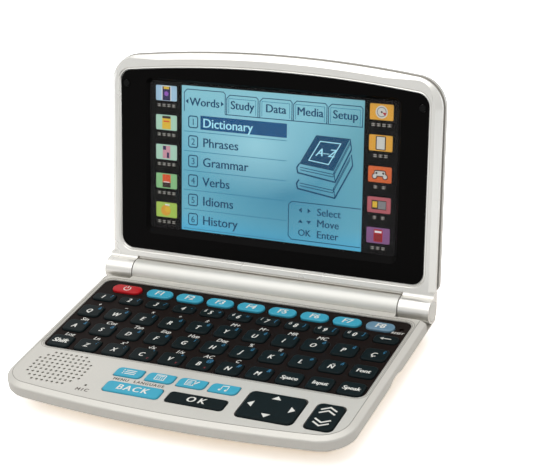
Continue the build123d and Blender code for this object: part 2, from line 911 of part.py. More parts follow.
with BuildPart() as keypad_mat:
    mat_outline = bowed_plate(
        reach_plan.offset(board_top), board_half_width, board_near, board_far, board_corner
    )
    extrude(mat_outline, amount=mat_thickness)
    extrude(board_openings(plan.offset(board_top)), amount=mat_thickness, mode=Mode.SUBTRACT)
    extrude(
        discs(plan.offset(board_top), [(mic_x, mic_v)], mic_radius + board_clearance),
        amount=mat_thickness,
        mode=Mode.SUBTRACT,
    )
    switch_opening = reset_switch_size + 2 * board_clearance
    extrude(
        blocks(plan.offset(board_top), [(reset_x, reset_v)], switch_opening, switch_opening),
        amount=mat_thickness,
        mode=Mode.SUBTRACT,
    )
    dome_places = letter_places + digit_places + pill_places + shortcut_places + command_places
    dome_places.append((power_x, pill_row))
    extrude(discs(plan.offset(mat_top), dome_places, dome_radius), amount=dome_height)
save(keypad_mat, "keypad_mat")

with BuildPart() as speaker:
    speaker_top = deck_under - fit
    speaker_bottom = speaker_top - speaker_height
    speaker_axis = Plane(origin=(grille_x, hinge_y - grille_v, 0), x_dir=(1, 0, 0), z_dir=(0, -1, 0))
    with BuildSketch(speaker_axis):
        with BuildLine():
            Polyline(
                (0, speaker_bottom),
                (speaker_magnet_radius, speaker_bottom),
                (speaker_magnet_radius, speaker_top - speaker_rim - speaker_basket),
                (speaker_radius - speaker_rim_width, speaker_top - speaker_rim),
                (speaker_radius, speaker_top - speaker_rim),
                (speaker_radius, speaker_top),
                (speaker_radius - speaker_rim_width, speaker_top),
                (speaker_cap_radius, speaker_top - speaker_dish),
                (0, speaker_top - speaker_dish),
                close=True,
            )
        make_face()
    revolve(axis=Axis((grille_x, hinge_y - grille_v, 0), (0, 0, 1)))
save(speaker, "speaker")

with BuildPart() as microphone:
    extrude(discs(plan.offset(board_top), [(mic_x, mic_v)], mic_radius), amount=mic_height)
    extrude(
        discs(plan.offset(board_top + mic_height - fit), [(mic_x, mic_v)], mic_hole),
        amount=fit,
        mode=Mode.SUBTRACT,
    )
save(microphone, "microphone")

with BuildPart() as reset_switch:
    extrude(
        blocks(plan.offset(board_top), [(reset_x, reset_v)], reset_switch_size, reset_switch_size),
        amount=reset_switch_height,
    )
save(reset_switch, "reset_switch")

with BuildPart() as earphone_jack:
    jack_block = blocks(
        plan.offset(jack_z - jack_height / 2),
        [(jack_inner_x + jack_length / 2, port_v)],
        jack_length,
        jack_width,
    )
    extrude(jack_block, amount=jack_height)
    jack_mouth = jack_length + port_wall
    extrude(rod(side_plan.offset(jack_inner_x), -port_v, jack_z, jack_nose_radius), amount=jack_mouth)
    extrude(
        rod(side_plan.offset(jack_inner_x + jack_mouth - jack_depth), -port_v, jack_z, jack_radius),
        amount=jack_depth,
        mode=Mode.SUBTRACT,
    )
save(earphone_jack, "earphone_jack")

with BuildPart() as usb_socket:
    with BuildSketch(front_plan.offset(-usb_rear)):
        with Locations((usb_x, usb_z)):
            Rectangle(usb_width, usb_height)
    extrude(amount=usb_length)
    with BuildSketch(front_plan.offset(-usb_rear)):
        with Locations((usb_x, usb_z)):
            Rectangle(usb_width - 2 * usb_shell, usb_height - 2 * usb_shell)
    extrude(amount=usb_length - usb_shell, mode=Mode.SUBTRACT)
    tongue_height = (usb_height - 2 * usb_shell) / 3
    with BuildSketch(front_plan.offset(usb_length - usb_rear - usb_shell)):
        with Locations((usb_x, usb_z)):
            Rectangle(usb_width - 4 * usb_shell, tongue_height)
    extrude(amount=-(usb_length - usb_rear))
    leg_v = usb_length - usb_rear - usb_leg / 2
    legs = [(usb_x - usb_width / 2 + usb_leg / 2, leg_v), (usb_x + usb_width / 2 - usb_leg / 2, leg_v)]
    leg_start = usb_z + usb_height / 2 - usb_shell
    extrude(blocks(plan.offset(leg_start), legs, usb_leg, usb_leg), amount=board_under - leg_start)
save(usb_socket, "usb_socket")

# ---------------------------------------------------------------- base: battery

with BuildPart() as battery_pack:
    battery_block = rounded_plates(
        plan.offset(battery_bottom), [(0, bay_v)], battery_width, battery_length, battery_round
    )
    extrude(battery_block, amount=battery_height)
save(battery_pack, "battery_pack")

battery_top = battery_bottom + battery_height
contact_v = battery_near + contact_inset

with BuildPart() as battery_contacts:
    # leaf springs: a foot under the board and a slope down to the battery
    for place in (-1, 0, 1):
        with BuildSketch(side_plan.offset(place * contact_pitch - contact_width / 2)):
            with BuildLine():
                Polyline(
                    (-contact_v, board_under),
                    (-contact_v - contact_foot, board_under),
                    (-contact_v - contact_length, battery_top + contact_sheet),
                    (-contact_v - contact_length, battery_top),
                    (-contact_v - contact_foot, board_under - contact_sheet),
                    (-contact_v, board_under - contact_sheet),
                    close=True,
                )
            make_face()
        extrude(amount=contact_width)
save(battery_contacts, "battery_contacts")

with BuildPart() as battery_cover:
    cover_v = (cover_rear + cover_front) / 2
    extrude(
        blocks(plan.offset(foot_height), [(0, cover_v)], 2 * cover_half_width, cover_length),
        amount=cover_thickness,
    )
    tongue_x = cover_half_width + tongue_reach / 2
    tongues = [(side * tongue_x, v) for v in tongue_v for side in (-1, 1)]
    extrude(
        blocks(plan.offset(tongue_top - tongue_thickness), tongues, tongue_reach, tongue_length),
        amount=tongue_thickness,
    )
    grips = [(0, cover_front - (i + 2) * grip_pitch) for i in range(grip_count)]
    extrude(
        blocks(plan.offset(foot_height), grips, grip_width, grip_pitch / 2),
        amount=grip_rib,
        mode=Mode.SUBTRACT,
    )
save(battery_cover, "battery_cover")

# ---------------------------------------------------------------- base: fasteners and feet

with BuildPart() as case_screws:
    head_bottom = foot_height + fit
    extrude(discs(plan.offset(head_bottom), screw_places, screw_head_radius), amount=screw_head)
    extrude(discs(plan.offset(head_bottom + screw_head), screw_places, screw_radius), amount=screw_shank)
    for width, depth in ((cross_length, cross_width), (cross_width, cross_length)):
        extrude(
            blocks(plan.offset(head_bottom), screw_places, width, depth),
            amount=cross_depth,
            mode=Mode.SUBTRACT,
        )
save(case_screws, "case_screws")

with BuildPart() as rubber_feet:
    extrude(discs(plan, feet, foot_radius), amount=foot_height)
    chamfer(rubber_feet.edges().group_by(Axis.Z)[0], foot_chamfer)
save(rubber_feet, "rubber_feet")

# ---------------------------------------------------------------- keypad panel

key_hole_corner = key_corner + key_clearance

with BuildPart() as keypad_panel:
    panel_plate = rounded_plates(
        plan.offset(deck_under), [(0, panel_v)], 2 * panel_half_width, panel_depth, panel_corner
    )
    extrude(panel_plate, amount=panel_face - deck_under)
    flange = rounded_plates(
        plan.offset(panel_under),
        [(0, panel_v)],
        2 * (panel_half_width + panel_flange),
        panel_depth + 2 * panel_flange,
        panel_corner + panel_flange,
    )
    extrude(flange, amount=panel_flange_thickness)
    panel_thickness = panel_face - panel_under
    letter_holes = rounded_plates(
        plan.offset(panel_under),
        letter_places,
        key_width + 2 * key_clearance,
        key_depth + 2 * key_clearance,
        key_hole_corner,
    )
    extrude(letter_holes, amount=panel_thickness, mode=Mode.SUBTRACT)
    digit_holes = rounded_plates(
        plan.offset(panel_under),
        digit_places,
        key_width + 2 * key_clearance,
        digit_depth + 2 * key_clearance,
        key_hole_corner,
    )
    extrude(digit_holes, amount=panel_thickness, mode=Mode.SUBTRACT)
    pill_holes = pill_plates(
        plan.offset(panel_under),
        pill_places,
        pill_width + 2 * key_clearance,
        pill_depth + 2 * key_clearance,
    )
    extrude(pill_holes, amount=panel_thickness, mode=Mode.SUBTRACT)
    power_hole = pill_plates(
        plan.offset(panel_under),
        [(power_x, pill_row)],
        power_width + 2 * key_clearance,
        pill_depth + 2 * key_clearance,
    )
    extrude(power_hole, amount=panel_thickness, mode=Mode.SUBTRACT)
    extrude(
        discs(plan.offset(panel_under), [(reset_x, reset_v)], reset_hole),
        amount=panel_thickness,
        mode=Mode.SUBTRACT,
    )
save(keypad_panel, "keypad_panel")

# ---------------------------------------------------------------- keys of the panel

digit_names = digit_places[:-1]
backspace_place = digit_places[-1]
rows = [[(x, row) for x in columns] for row in letter_rows]
shift_place = rows[-1][0]
space_place = rows[-1][-3]
other_places = [place for place in rows[-1] if place not in (shift_place, space_place)]
panel_keys = (
    ("digit_keys", digit_names, digit_depth),
    ("backspace_key", [backspace_place], digit_depth),
    ("letter_keys_upper", rows[0], key_depth),
    ("letter_keys_middle", rows[1], key_depth),
    ("letter_keys_lower", other_places, key_depth),
    ("shift_key", [shift_place], key_depth),
    ("space_key", [space_place], key_depth),
)

for name, places, depth in panel_keys:
    with BuildPart() as keys:
        stem = rounded_plates(plan.offset(lip_bottom), places, key_width, depth, key_corner)
        extrude(stem, amount=deck_height + key_top - lip_bottom)
        fillet(keys.faces().group_by(Axis.Z)[-1].edges(), key_edge)
        lip = rounded_plates(
            plan.offset(lip_bottom),
            places,
            key_width + 2 * key_lip,
            depth + 2 * key_lip,
            key_corner + key_lip,
        )
        extrude(lip, amount=key_lip_thickness)
    save(keys, name)

pill_keys = [("power_key", (power_x, pill_row), power_width)]
for i, place in enumerate(pill_places):
    pill_keys.append((f"function_key_{i + 1}", place, pill_width))

for name, place, width in pill_keys:
    with BuildPart() as pill_key:
        extrude(
            pill_plates(plan.offset(lip_bottom), [place], width, pill_depth),
            amount=deck_height + pill_top - lip_bottom,
        )
        fillet(pill_key.faces().sort_by(Axis.Z)[-1].edges(), key_edge)
        extrude(
            pill_plates(plan.offset(lip_bottom), [place], width + 2 * key_lip, pill_depth + 2 * key_lip),
            amount=key_lip_thickness,
        )
    save(pill_key, name)

with BuildPart() as reset_plunger:
    plunger_top = panel_face - reset_bore_depth
    plunger_bottom = plunger_top - reset_plunger_length
    extrude(
        discs(plan.offset(plunger_bottom), [(reset_x, reset_v)], reset_plunger_radius),
        amount=reset_plunger_length,
    )
    extrude(
        discs(plan.offset(plunger_bottom), [(reset_x, reset_v)], reset_flange_radius), amount=reset_flange
    )
save(reset_plunger, "reset_plunger")

# ---------------------------------------------------------------- keys of the deck

deck_key_height = deck_height + deck_key_top
deck_lip_bottom = deck_lip_top - key_lip_thickness

for i, place in enumerate(shortcut_places):
    with BuildPart() as shortcut_key:
        cap = leaf_plates(
            plan.offset(deck_lip_bottom),
            [place],
            shortcut_width,
            shortcut_depth,
            shortcut_round,
            shortcut_tip,
        )
        extrude(cap, amount=deck_key_height - deck_lip_bottom)
        fillet(shortcut_key.faces().sort_by(Axis.Z)[-1].edges(), shortcut_edge)
        lip = leaf_plates(
            plan.offset(deck_lip_bottom),
            [place],
            shortcut_width + 2 * key_lip,
            shortcut_depth + 2 * key_lip,
            shortcut_round + key_lip,
            shortcut_tip + key_lip,
        )
        extrude(lip, amount=key_lip_thickness)
        extrude(
            discs(plan.offset(lip_bottom), [place], plunger_radius),
            amount=deck_lip_bottom - lip_bottom,
        )
    save(shortcut_key, f"shortcut_key_{i + 1}")

for name, place in zip(("back_key", "confirm_key"), command_places):
    with BuildPart() as command_key:
        extrude(
            rounded_plates(
                plan.offset(deck_lip_bottom), [place], command_width, command_depth, command_corner
            ),
            amount=deck_key_height - deck_lip_bottom,
        )
        fillet(command_key.faces().sort_by(Axis.Z)[-1].edges(), key_edge)
        extrude(
            rounded_plates(
                plan.offset(deck_lip_bottom),
                [place],
                command_width + 2 * key_lip,
                command_depth + 2 * key_lip,
                command_corner + key_lip,
            ),
            amount=key_lip_thickness,
        )
        extrude(
            discs(plan.offset(lip_bottom), [place], plunger_radius),
            amount=deck_lip_bottom - lip_bottom,
        )
    save(command_key, name)

# ---------------------------------------------------------------- navigation pad on its tilting plate

plate_bottom = mat_top + dome_height + pad_plate_lift
plate_top = plate_bottom + pad_plate_thickness
pad_axis_z = plate_top + fit + pad_pivot_radius
pad_bottom = deck_key_height - pad_block
pad_side = Plane(origin=(pad_x, hinge_y - pad_v, 0), x_dir=(0, 1, 0), z_dir=(1, 0, 0))
pad_front = Plane(origin=(pad_x, hinge_y - pad_v, 0), x_dir=(1, 0, 0), z_dir=(0, -1, 0))

with BuildPart() as nav_plate:
    extrude(
        blocks(plan.offset(plate_bottom), [(pad_x, pad_v)], pad_plate_width, pad_plate_depth),
        amount=pad_plate_thickness,
    )
    ridge_start = pad_side.offset(-pad_plate_width / 2)
    extrude(rod(ridge_start, 0, plate_bottom, pad_ridge_radius), amount=pad_plate_width)
save(nav_plate, "nav_plate")

with BuildPart() as nav_pad:
    extrude(
        rounded_plates(plan.offset(pad_bottom), [(pad_x, pad_v)], pad_width, pad_depth, pad_corner),
        amount=pad_block,
    )
    fillet(nav_pad.faces().sort_by(Axis.Z)[-1].edges(), key_edge)
    extrude(
        blocks(plan.offset(pad_axis_z), [(pad_x, pad_v)], 2 * pad_pivot_radius, pad_pivot_length),
        amount=pad_bottom - pad_axis_z,
    )
    pivot_start = pad_front.offset(-pad_pivot_length / 2)
    extrude(rod(pivot_start, 0, pad_axis_z, pad_pivot_radius), amount=pad_pivot_length)
save(nav_pad, "nav_pad")

# ---------------------------------------------------------------- page rocker

rocker_bottom = deck_key_height - rocker_block
rocker_axis_z = deck_lip_top - rocker_pin_radius
rocker_foot_bottom = lip_bottom - rocker_foot_drop

with BuildPart() as page_rocker:
    extrude(
        rounded_plates(
            plan.offset(rocker_bottom), [(rocker_x, rocker_v)], rocker_width, rocker_depth, pad_corner
        ),
        amount=rocker_block,
    )
    fillet(page_rocker.faces().sort_by(Axis.Z)[-1].edges(), key_edge)
    extrude(
        blocks(
            plan.offset(rocker_axis_z - rocker_pin_radius), [(rocker_x, rocker_v)], rocker_width, rocker_web
        ),
        amount=rocker_bottom - rocker_axis_z + rocker_pin_radius,
    )
    pin_x = rocker_x - rocker_width / 2 - rocker_pin_length
    extrude(
        rod(side_plan.offset(pin_x), -rocker_v, rocker_axis_z, rocker_pin_radius),
        amount=rocker_width + 2 * rocker_pin_length,
    )
    rocker_feet = [(rocker_x, rocker_v + side * rocker_foot_spacing / 2) for side in (-1, 1)]
    extrude(
        discs(plan.offset(rocker_foot_bottom), rocker_feet, plunger_radius),
        amount=rocker_bottom - rocker_foot_bottom,
    )
save(page_rocker, "page_rocker")

# ---------------------------------------------------------------- lid: shells

skirt_inset = groove_depth
skirt_height_n = groove_n - frame_back_n + skirt_wall
plugs = [(-plug_x, plug_v), (plug_x, plug_v)]

with BuildPart() as lid_rear_cover:
    cover_outline = bowed_plate(
        lid_plane.offset(lid_back_n), lid_half_width, lid_near, lid_reach, lid_corner, cover_near_corner
    )
    extrude(cover_outline, amount=cover_depth)
    fillet(lid_rear_cover.faces().sort_by(lid_normal)[0].edges(), cover_edge_round)
    cavity_outline = bowed_plate(
        lid_plane.offset(lid_back_n + cover_wall),
        lid_half_width - groove_depth,
        lid_near + groove_depth,
        lid_reach - groove_depth,
        lid_corner - groove_depth,
    )
    extrude(cavity_outline, amount=cover_depth - cover_wall, mode=Mode.SUBTRACT)
    # skirt that carries the front frame and leaves the groove round the lid
    skirt_outer = bowed_plate(
        lid_plane.offset(frame_back_n - skirt_wall),
        lid_half_width - skirt_inset,
        lid_near + skirt_inset,
        lid_reach - skirt_inset,
        lid_corner - skirt_inset,
    )
    extrude(skirt_outer, amount=skirt_height_n)
    skirt_inner = bowed_plate(
        lid_plane.offset(frame_back_n - skirt_wall),
        lid_half_width - skirt_inset - skirt_wall,
        lid_near + skirt_inset + skirt_wall,
        lid_reach - skirt_inset - skirt_wall,
        lid_corner - skirt_inset - skirt_wall,
    )
    extrude(skirt_inner, amount=skirt_height_n, mode=Mode.SUBTRACT)
    boss_height = groove_n - lid_back_n - cover_wall
    extrude(
        lid_discs(lid_plane.offset(lid_back_n + cover_wall), plugs, lid_boss_radius),
        amount=boss_height,
    )
    extrude(
        lid_discs(lid_plane.offset(lid_back_n + cover_wall), plugs, lid_screw_radius + thread_fit),
        amount=boss_height,
        mode=Mode.SUBTRACT,
    )
save(lid_rear_cover, "lid_rear_cover")

with BuildPart() as lid_front_frame:
    frame_half_width = lid_half_width - frame_inset
    frame_reach = lid_reach - frame_inset
    frame_corner = lid_corner - frame_inset
    bevel_n = rim_n - frame_bevel_depth
    side_band = bowed_plate(
        lid_plane.offset(groove_n), frame_half_width, lid_near, frame_reach, frame_corner
    )
    extrude(side_band, amount=bevel_n - groove_n)
    bevel_outer = bowed_plate(
        lid_plane.offset(bevel_n), frame_half_width, lid_near, frame_reach, frame_corner
    )
    bevel_inner = bowed_plate(
        lid_plane.offset(rim_n),
        frame_half_width - frame_bevel_width,
        lid_near,
        frame_reach - frame_bevel_width,
        frame_corner - frame_bevel_width,
    )
    loft(sections=[bevel_outer, bevel_inner], ruled=True)
    # end knuckles with their arms
    for start, end in ((-knuckle_end, -knuckle_start), (knuckle_start, knuckle_end)):
        with BuildSketch(lid_side.offset(start)) as knuckle:
            Circle(barrel_radius)
            with Locations((-(rim_n - barrel_radius) / 2, arm_reach / 2)):
                Rectangle(barrel_radius + rim_n, arm_reach)
            arm_meets = (-rim_n, sqrt(barrel_radius**2 - rim_n**2), 0)
            fillet(knuckle.vertices().sort_by_distance(arm_meets)[0], knuckle_fillet)
        extrude(knuckle.sketch, amount=end - start)
    # bezel seat with its bevelled lip, and the opening behind it
    bezel_seat = lid_window(
        lid_plane.offset(ledge_n), bezel_half_width + fit, bezel_near - fit, bezel_reach + fit, bezel_corner
    )
    extrude(bezel_seat, amount=rim_n - ledge_n, mode=Mode.SUBTRACT)
    lip_bottom_edge = lid_window(
        lid_plane.offset(bezel_n), bezel_half_width + fit, bezel_near - fit, bezel_reach + fit, bezel_corner
    )
    lip_top_edge = lid_window(
        lid_plane.offset(rim_n),
        bezel_half_width + fit + lip_bevel,
        bezel_near - fit - lip_bevel,
        bezel_reach + fit + lip_bevel,
        bezel_corner + lip_bevel,
    )
    loft(sections=[lip_bottom_edge, lip_top_edge], ruled=True, mode=Mode.SUBTRACT)
    ledge_opening = lid_window(
        lid_plane.offset(groove_n),
        bezel_half_width - ledge_width,
        bezel_near + ledge_near,
        bezel_reach - ledge_near,
        bezel_corner,
    )
    extrude(ledge_opening, amount=ledge_n - groove_n, mode=Mode.SUBTRACT)
    extrude(
        lid_discs(lid_plane.offset(groove_n), plugs, lid_screw_radius + fit),
        amount=ledge_n - groove_n,
        mode=Mode.SUBTRACT,
    )
    # bearings of the hinge pieces and the seats of the end caps
    right_bore = rod(lid_side.offset(knuckle_start), 0, 0, shaft_radius + thread_fit)
    extrude(right_bore, amount=shaft_end - knuckle_start, mode=Mode.SUBTRACT)
    left_bore = rod(lid_side.offset(-shaft_end), 0, 0, sleeve_radius + thread_fit)
    extrude(left_bore, amount=shaft_end - knuckle_start, mode=Mode.SUBTRACT)
    for start in (-knuckle_end, knuckle_end - cap_seat):
        extrude(rod(lid_side.offset(start), 0, 0, cap_radius + fit), amount=cap_seat, mode=Mode.SUBTRACT)
save(lid_front_frame, "lid_front_frame")

# ---------------------------------------------------------------- lid: hinge pieces

with BuildPart() as hinge_shaft:
    extrude(rod(lid_side.offset(shaft_start), 0, 0, shaft_radius), amount=shaft_end - shaft_start - fit)
save(hinge_shaft, "hinge_shaft")

with BuildPart() as hinge_sleeve:
    sleeve_plane = lid_side.offset(fit - shaft_end)
    extrude(rod(sleeve_plane, 0, 0, sleeve_radius), amount=sleeve_length)
    extrude(rod(sleeve_plane, 0, 0, sleeve_bore), amount=sleeve_length, mode=Mode.SUBTRACT)
save(hinge_sleeve, "hinge_sleeve")

with BuildPart() as hinge_caps:
    for start in (-knuckle_end - cap_proud, knuckle_end + cap_proud - cap_thickness):
        extrude(rod(lid_side.offset(start), 0, 0, cap_radius), amount=cap_thickness)
    outer_rims = hinge_caps.edges().group_by(Axis.X)
    chamfer(outer_rims[0] + outer_rims[-1], cap_proud)
save(hinge_caps, "hinge_caps")

# ---------------------------------------------------------------- lid: display stack

with BuildPart() as bezel:
    bezel_outline = lid_window(
        lid_plane.offset(ledge_n), bezel_half_width, bezel_near, bezel_reach, bezel_corner
    )
    extrude(bezel_outline, amount=bezel_thickness)
    window_back = lid_window(
        lid_plane.offset(ledge_n), window_half_width, window_near, window_far, window_corner
    )
    window_front = lid_window(
        lid_plane.offset(bezel_n),
        window_half_width + window_side_bevel,
        window_near - window_near_bevel,
        window_far + window_far_bevel,
        window_corner + window_side_bevel,
    )
    loft(sections=[window_back, window_front], ruled=True, mode=Mode.SUBTRACT)
    extrude(
        lid_discs(lid_plane.offset(ledge_n), plugs, plug_radius + fit),
        amount=bezel_thickness,
        mode=Mode.SUBTRACT,
    )
save(bezel, "bezel")

lens_half_width = window_half_width + lens_margin
lens_near = window_near - lens_margin
lens_far = window_far + lens_margin

with BuildPart() as window_lens:
    extrude(
        lid_window(lid_plane.offset(lens_back_n), lens_half_width, lens_near, lens_far, lens_margin),
        amount=lens_thickness,
    )
save(window_lens, "window_lens")

with BuildPart() as icon_card:
    extrude(
        lid_window(lid_plane.offset(card_back_n), lens_half_width, lens_near, lens_far, lens_margin),
        amount=card_thickness,
    )
    with BuildSketch(lid_plane.offset(card_back_n)):
        with Locations((0, screen_v)):
            Rectangle(screen_width, screen_height)
    extrude(amount=card_thickness, mode=Mode.SUBTRACT)
save(icon_card, "icon_card")

with BuildPart() as lcd_panel:
    with BuildSketch(lid_plane.offset(lcd_back_n)):
        with Locations((0, screen_v)):
            Rectangle(screen_width + 2 * glass_margin, screen_height + 2 * glass_margin)
    extrude(amount=lcd_thickness)
save(lcd_panel, "lcd_panel")

with BuildPart() as backlight:
    with BuildSketch(lid_plane.offset(light_back_n)):
        with Locations((0, screen_v)):
            Rectangle(screen_width + glass_margin, screen_height + glass_margin)
    extrude(amount=backlight_thickness)
save(backlight, "backlight")

with BuildPart() as display_flex:
    flex_top = screen_near - glass_margin + flex_overlap
    flex_bottom = lid_near + skirt_inset + skirt_wall + fit
    with BuildSketch(lid_plane.offset(lcd_back_n - flex_thickness)):
        with Locations((flex_x, (flex_top + flex_bottom) / 2)):
            Rectangle(flex_width, flex_top - flex_bottom)
    extrude(amount=flex_thickness)
save(display_flex, "display_flex")

with BuildPart() as lid_plugs:
    plug_plane = lid_plane.offset(bezel_n + plug_proud - plug_thickness)
    extrude(lid_discs(plug_plane, plugs, plug_radius), amount=plug_thickness)
    chamfer(lid_plugs.faces().group_by(lid_normal)[-1].edges(), plug_chamfer)
save(lid_plugs, "lid_plugs")

with BuildPart() as lid_screws:
    extrude(lid_discs(lid_plane.offset(ledge_n), plugs, lid_screw_head_radius), amount=lid_screw_head)
    extrude(lid_discs(lid_plane.offset(ledge_n), plugs, lid_screw_radius), amount=-lid_screw_shank)
save(lid_screws, "lid_screws")
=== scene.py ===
import bpy
import bmesh
import json
from math import atan2, cos, pi, radians, sin, sqrt
from mathutils import Matrix, Vector


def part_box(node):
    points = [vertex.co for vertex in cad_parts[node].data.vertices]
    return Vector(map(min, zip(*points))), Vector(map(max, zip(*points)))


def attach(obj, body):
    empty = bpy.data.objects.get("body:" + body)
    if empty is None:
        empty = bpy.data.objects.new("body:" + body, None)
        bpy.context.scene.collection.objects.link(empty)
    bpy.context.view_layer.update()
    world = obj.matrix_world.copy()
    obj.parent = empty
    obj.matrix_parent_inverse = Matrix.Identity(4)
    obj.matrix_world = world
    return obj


bl_info = {
    "name": "Pocket Electronic Dictionary",
    "version": (1, 0, 0),
    "blender": (4, 5, 0),
    "location": "View3D > Sidebar > Dictionary",
    "description": "Dresses a pocket electronic dictionary: lacquer, keys, legends, screen and "
    "studio",
    "category": "Object",
}

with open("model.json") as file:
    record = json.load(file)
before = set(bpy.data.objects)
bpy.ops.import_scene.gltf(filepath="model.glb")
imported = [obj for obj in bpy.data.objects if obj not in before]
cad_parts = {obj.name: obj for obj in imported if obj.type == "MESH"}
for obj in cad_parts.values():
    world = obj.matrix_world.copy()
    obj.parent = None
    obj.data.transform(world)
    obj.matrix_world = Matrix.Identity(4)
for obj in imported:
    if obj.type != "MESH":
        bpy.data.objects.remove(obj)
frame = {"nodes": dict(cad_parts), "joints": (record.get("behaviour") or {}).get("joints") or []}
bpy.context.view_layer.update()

# ---------------------------------------------------------------- places, from the frame

MM = 0.001
HINGE = Vector(next(j["pos_m"] for j in frame["joints"] if j["name"] == "lid_hinge"))
CARD_LOW, CARD_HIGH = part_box("icon_card")
LENS_LOW, LENS_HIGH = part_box("window_lens")
# the card and the lens have one outline and differ in depth only, which gives the lid's lean
LEAN = atan2(
    (LENS_HIGH.z - LENS_LOW.z) - (CARD_HIGH.z - CARD_LOW.z),
    (LENS_HIGH.y - LENS_LOW.y) - (CARD_HIGH.y - CARD_LOW.y),
)
# lid coordinates: x along the hinge, v up the lid from the hinge, n out of the screen
LID = Matrix.Translation(HINGE) @ Matrix(
    ((1, 0, 0, 0), (0, sin(LEAN), -cos(LEAN), 0), (0, cos(LEAN), sin(LEAN), 0), (0, 0, 0, 1))
)
BASE = Matrix.Identity(4)


def middle(node):
    """Centre of a node's box, in mm."""
    low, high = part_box(node)
    return (low + high) / 2 / MM


def top_of(node):
    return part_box(node)[1].z / MM


def span(node):
    """Size of a node's box, in mm."""
    low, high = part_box(node)
    return (high - low) / MM


COLUMN_PITCH = (span("letter_keys_upper").x - span("shift_key").x) / 10
FIRST_COLUMN = middle("shift_key").x
PANEL_TOP = top_of("keypad_panel")
DECK_TOP = top_of("base_upper_case")
KEY_TOP = top_of("letter_keys_upper")

# lid depths and places, in lid coordinates, mm
CARD_FACE = -3.4
LCD_FACE = -3.6
SCREEN_LEFT, SCREEN_RIGHT = -35.05, 35.05
SCREEN_NEAR, SCREEN_FAR = 16.7, 69.3


def column(number):
    """Middle of a column of keys, from 0 at the left, in mm."""
    return FIRST_COLUMN + number * COLUMN_PITCH


# ---------------------------------------------------------------- shader nodes


def linear(code):
    """An sRGB hex colour as linear red, green, blue and alpha. Any other value stays as it is."""
    if not isinstance(code, str):
        return code
    parts = [int(code[i : i + 2], 16) / 255 for i in (1, 3, 5)]
    parts = [c / 12.92 if c <= 0.04045 else ((c + 0.055) / 1.055) ** 2.4 for c in parts]
    return (*parts, 1.0)


def shade(colour, level):
    """A linear colour darkened to that share, with alpha."""
    return tuple(part * level for part in colour[:3]) + (1.0,)


def put(socket, value):
    """Links an output to the socket, or sets its value. A colour may be a hex code."""
    if isinstance(value, bpy.types.NodeSocket):
        socket.id_data.links.new(value, socket)
    else:
        socket.default_value = linear(value)


def add(tree, kind, *values, **named):
    """Adds a node. The values go to its first inputs, capitalised names to the inputs that they
    name, and other names are its settings."""
    node = tree.nodes.new(kind)
    inputs = dict(enumerate(values))
    for name, value in named.items():
        if name[0].isupper():
            inputs[name.replace("_", " ")] = value
        else:
            setattr(node, name, value)
    for key, value in inputs.items():
        put(node.inputs[key], value)
    return node


def maths(tree, operation, *values, **settings):
    return add(tree, "ShaderNodeMath", *values, operation=operation, **settings).outputs[0]


def cleared(block):
    """The node tree of a new material or world, emptied."""
    block.use_nodes = True
    block.node_tree.nodes.clear()
    return block.node_tree


def shaded(name, **values):
    """A new material with one Principled shader, whose even values are set on its own sockets."""
    material = bpy.data.materials.new(name)
    tree = cleared(material)
    shader = add(tree, "ShaderNodeBsdfPrincipled", **values)
    add(tree, "ShaderNodeOutputMaterial", shader.outputs["BSDF"])
    material.diffuse_color = linear(values.get("Base_Color", "#808080"))
    return material, tree, shader


def on_object(tree, cell, stretch=1):
    """Object coordinates in cells of that many mm, drawn out along x by a stretch under 1."""
    place = add(tree, "ShaderNodeTexCoord").outputs["Object"]
    scale = [s / (cell * MM) for s in (stretch, 1, 1)]
    return add(tree, "ShaderNodeMapping", place, Scale=scale).outputs[0]


def pattern(tree, kind, cell, stretch=1, **inputs):
    """A procedural texture in cells of that many mm."""
    place = on_object(tree, cell, stretch)
    return add(tree, "ShaderNodeTex" + kind, place, Scale=1.0, **inputs).outputs


def bricks(tree, cell, face, joint, gap, width=1.0, height=1.0):
    """Even blocks with joints between them."""
    return pattern(tree, "Brick", cell, Color1=face, Color2=face, Mortar=joint, Mortar_Size=gap,
                   Brick_Width=width, Row_Height=height)


def painted_light_spot(tree, place):
    """A soft round spot that fades out one cell from its middle. It lays the painted shade,
    highlight and shadow of the screen and the floor.
    """
    return add(tree, "ShaderNodeTexGradient", place, gradient_type="SPHERICAL").outputs["Fac"]


def mixed(tree, factor, a, b, colour=True):
    """Runs from a to b as the factor does."""
    first, kind = (6, "RGBA") if colour else (2, "FLOAT")
    node = add(tree, "ShaderNodeMix", factor, data_type=kind)
    put(node.inputs[first], a)
    put(node.inputs[first + 1], b)
    return node.outputs[2 if colour else 0]


def between(tree, factor, low, high):
    """A value that runs from low to high as the factor does."""
    return add(tree, "ShaderNodeMapRange", factor, To_Min=low, To_Max=high).outputs[0]


def relief(tree, shader, height, depth):
    """Fine relief that many millimetres deep."""
    bump = add(tree, "ShaderNodeBump", Height=height, Strength=1.0, Distance=depth * MM)
    put(shader.inputs["Normal"], bump.outputs[0])


# ---------------------------------------------------------------- materials


def metallic_lacquer(name, dark, light, roughness, metal=0.45, coat=0.3):
    """Moulded ABS sprayed with aluminium-flake lacquer: an even silver that glitters very finely
    and turns bright along its rounded edges. The flakes are about 0.03 mm, drawn at 0.16 mm."""
    material, tree, shader = shaded(
        name, Metallic=metal, Coat_Weight=coat, Coat_Roughness=0.16, Base_Color=light
    )
    flakes = pattern(tree, "Voronoi", 0.16)
    cloud = pattern(tree, "Noise", 22.0, Detail=3.0)["Fac"]
    both = mixed(tree, 0.55, flakes["Color"], cloud, colour=False)
    put(shader.inputs["Base Color"], mixed(tree, both, dark, light))
    put(shader.inputs["Roughness"], between(tree, cloud, roughness - 0.04, roughness + 0.05))
    relief(tree, shader, flakes["Distance"], 0.0008)
    return material


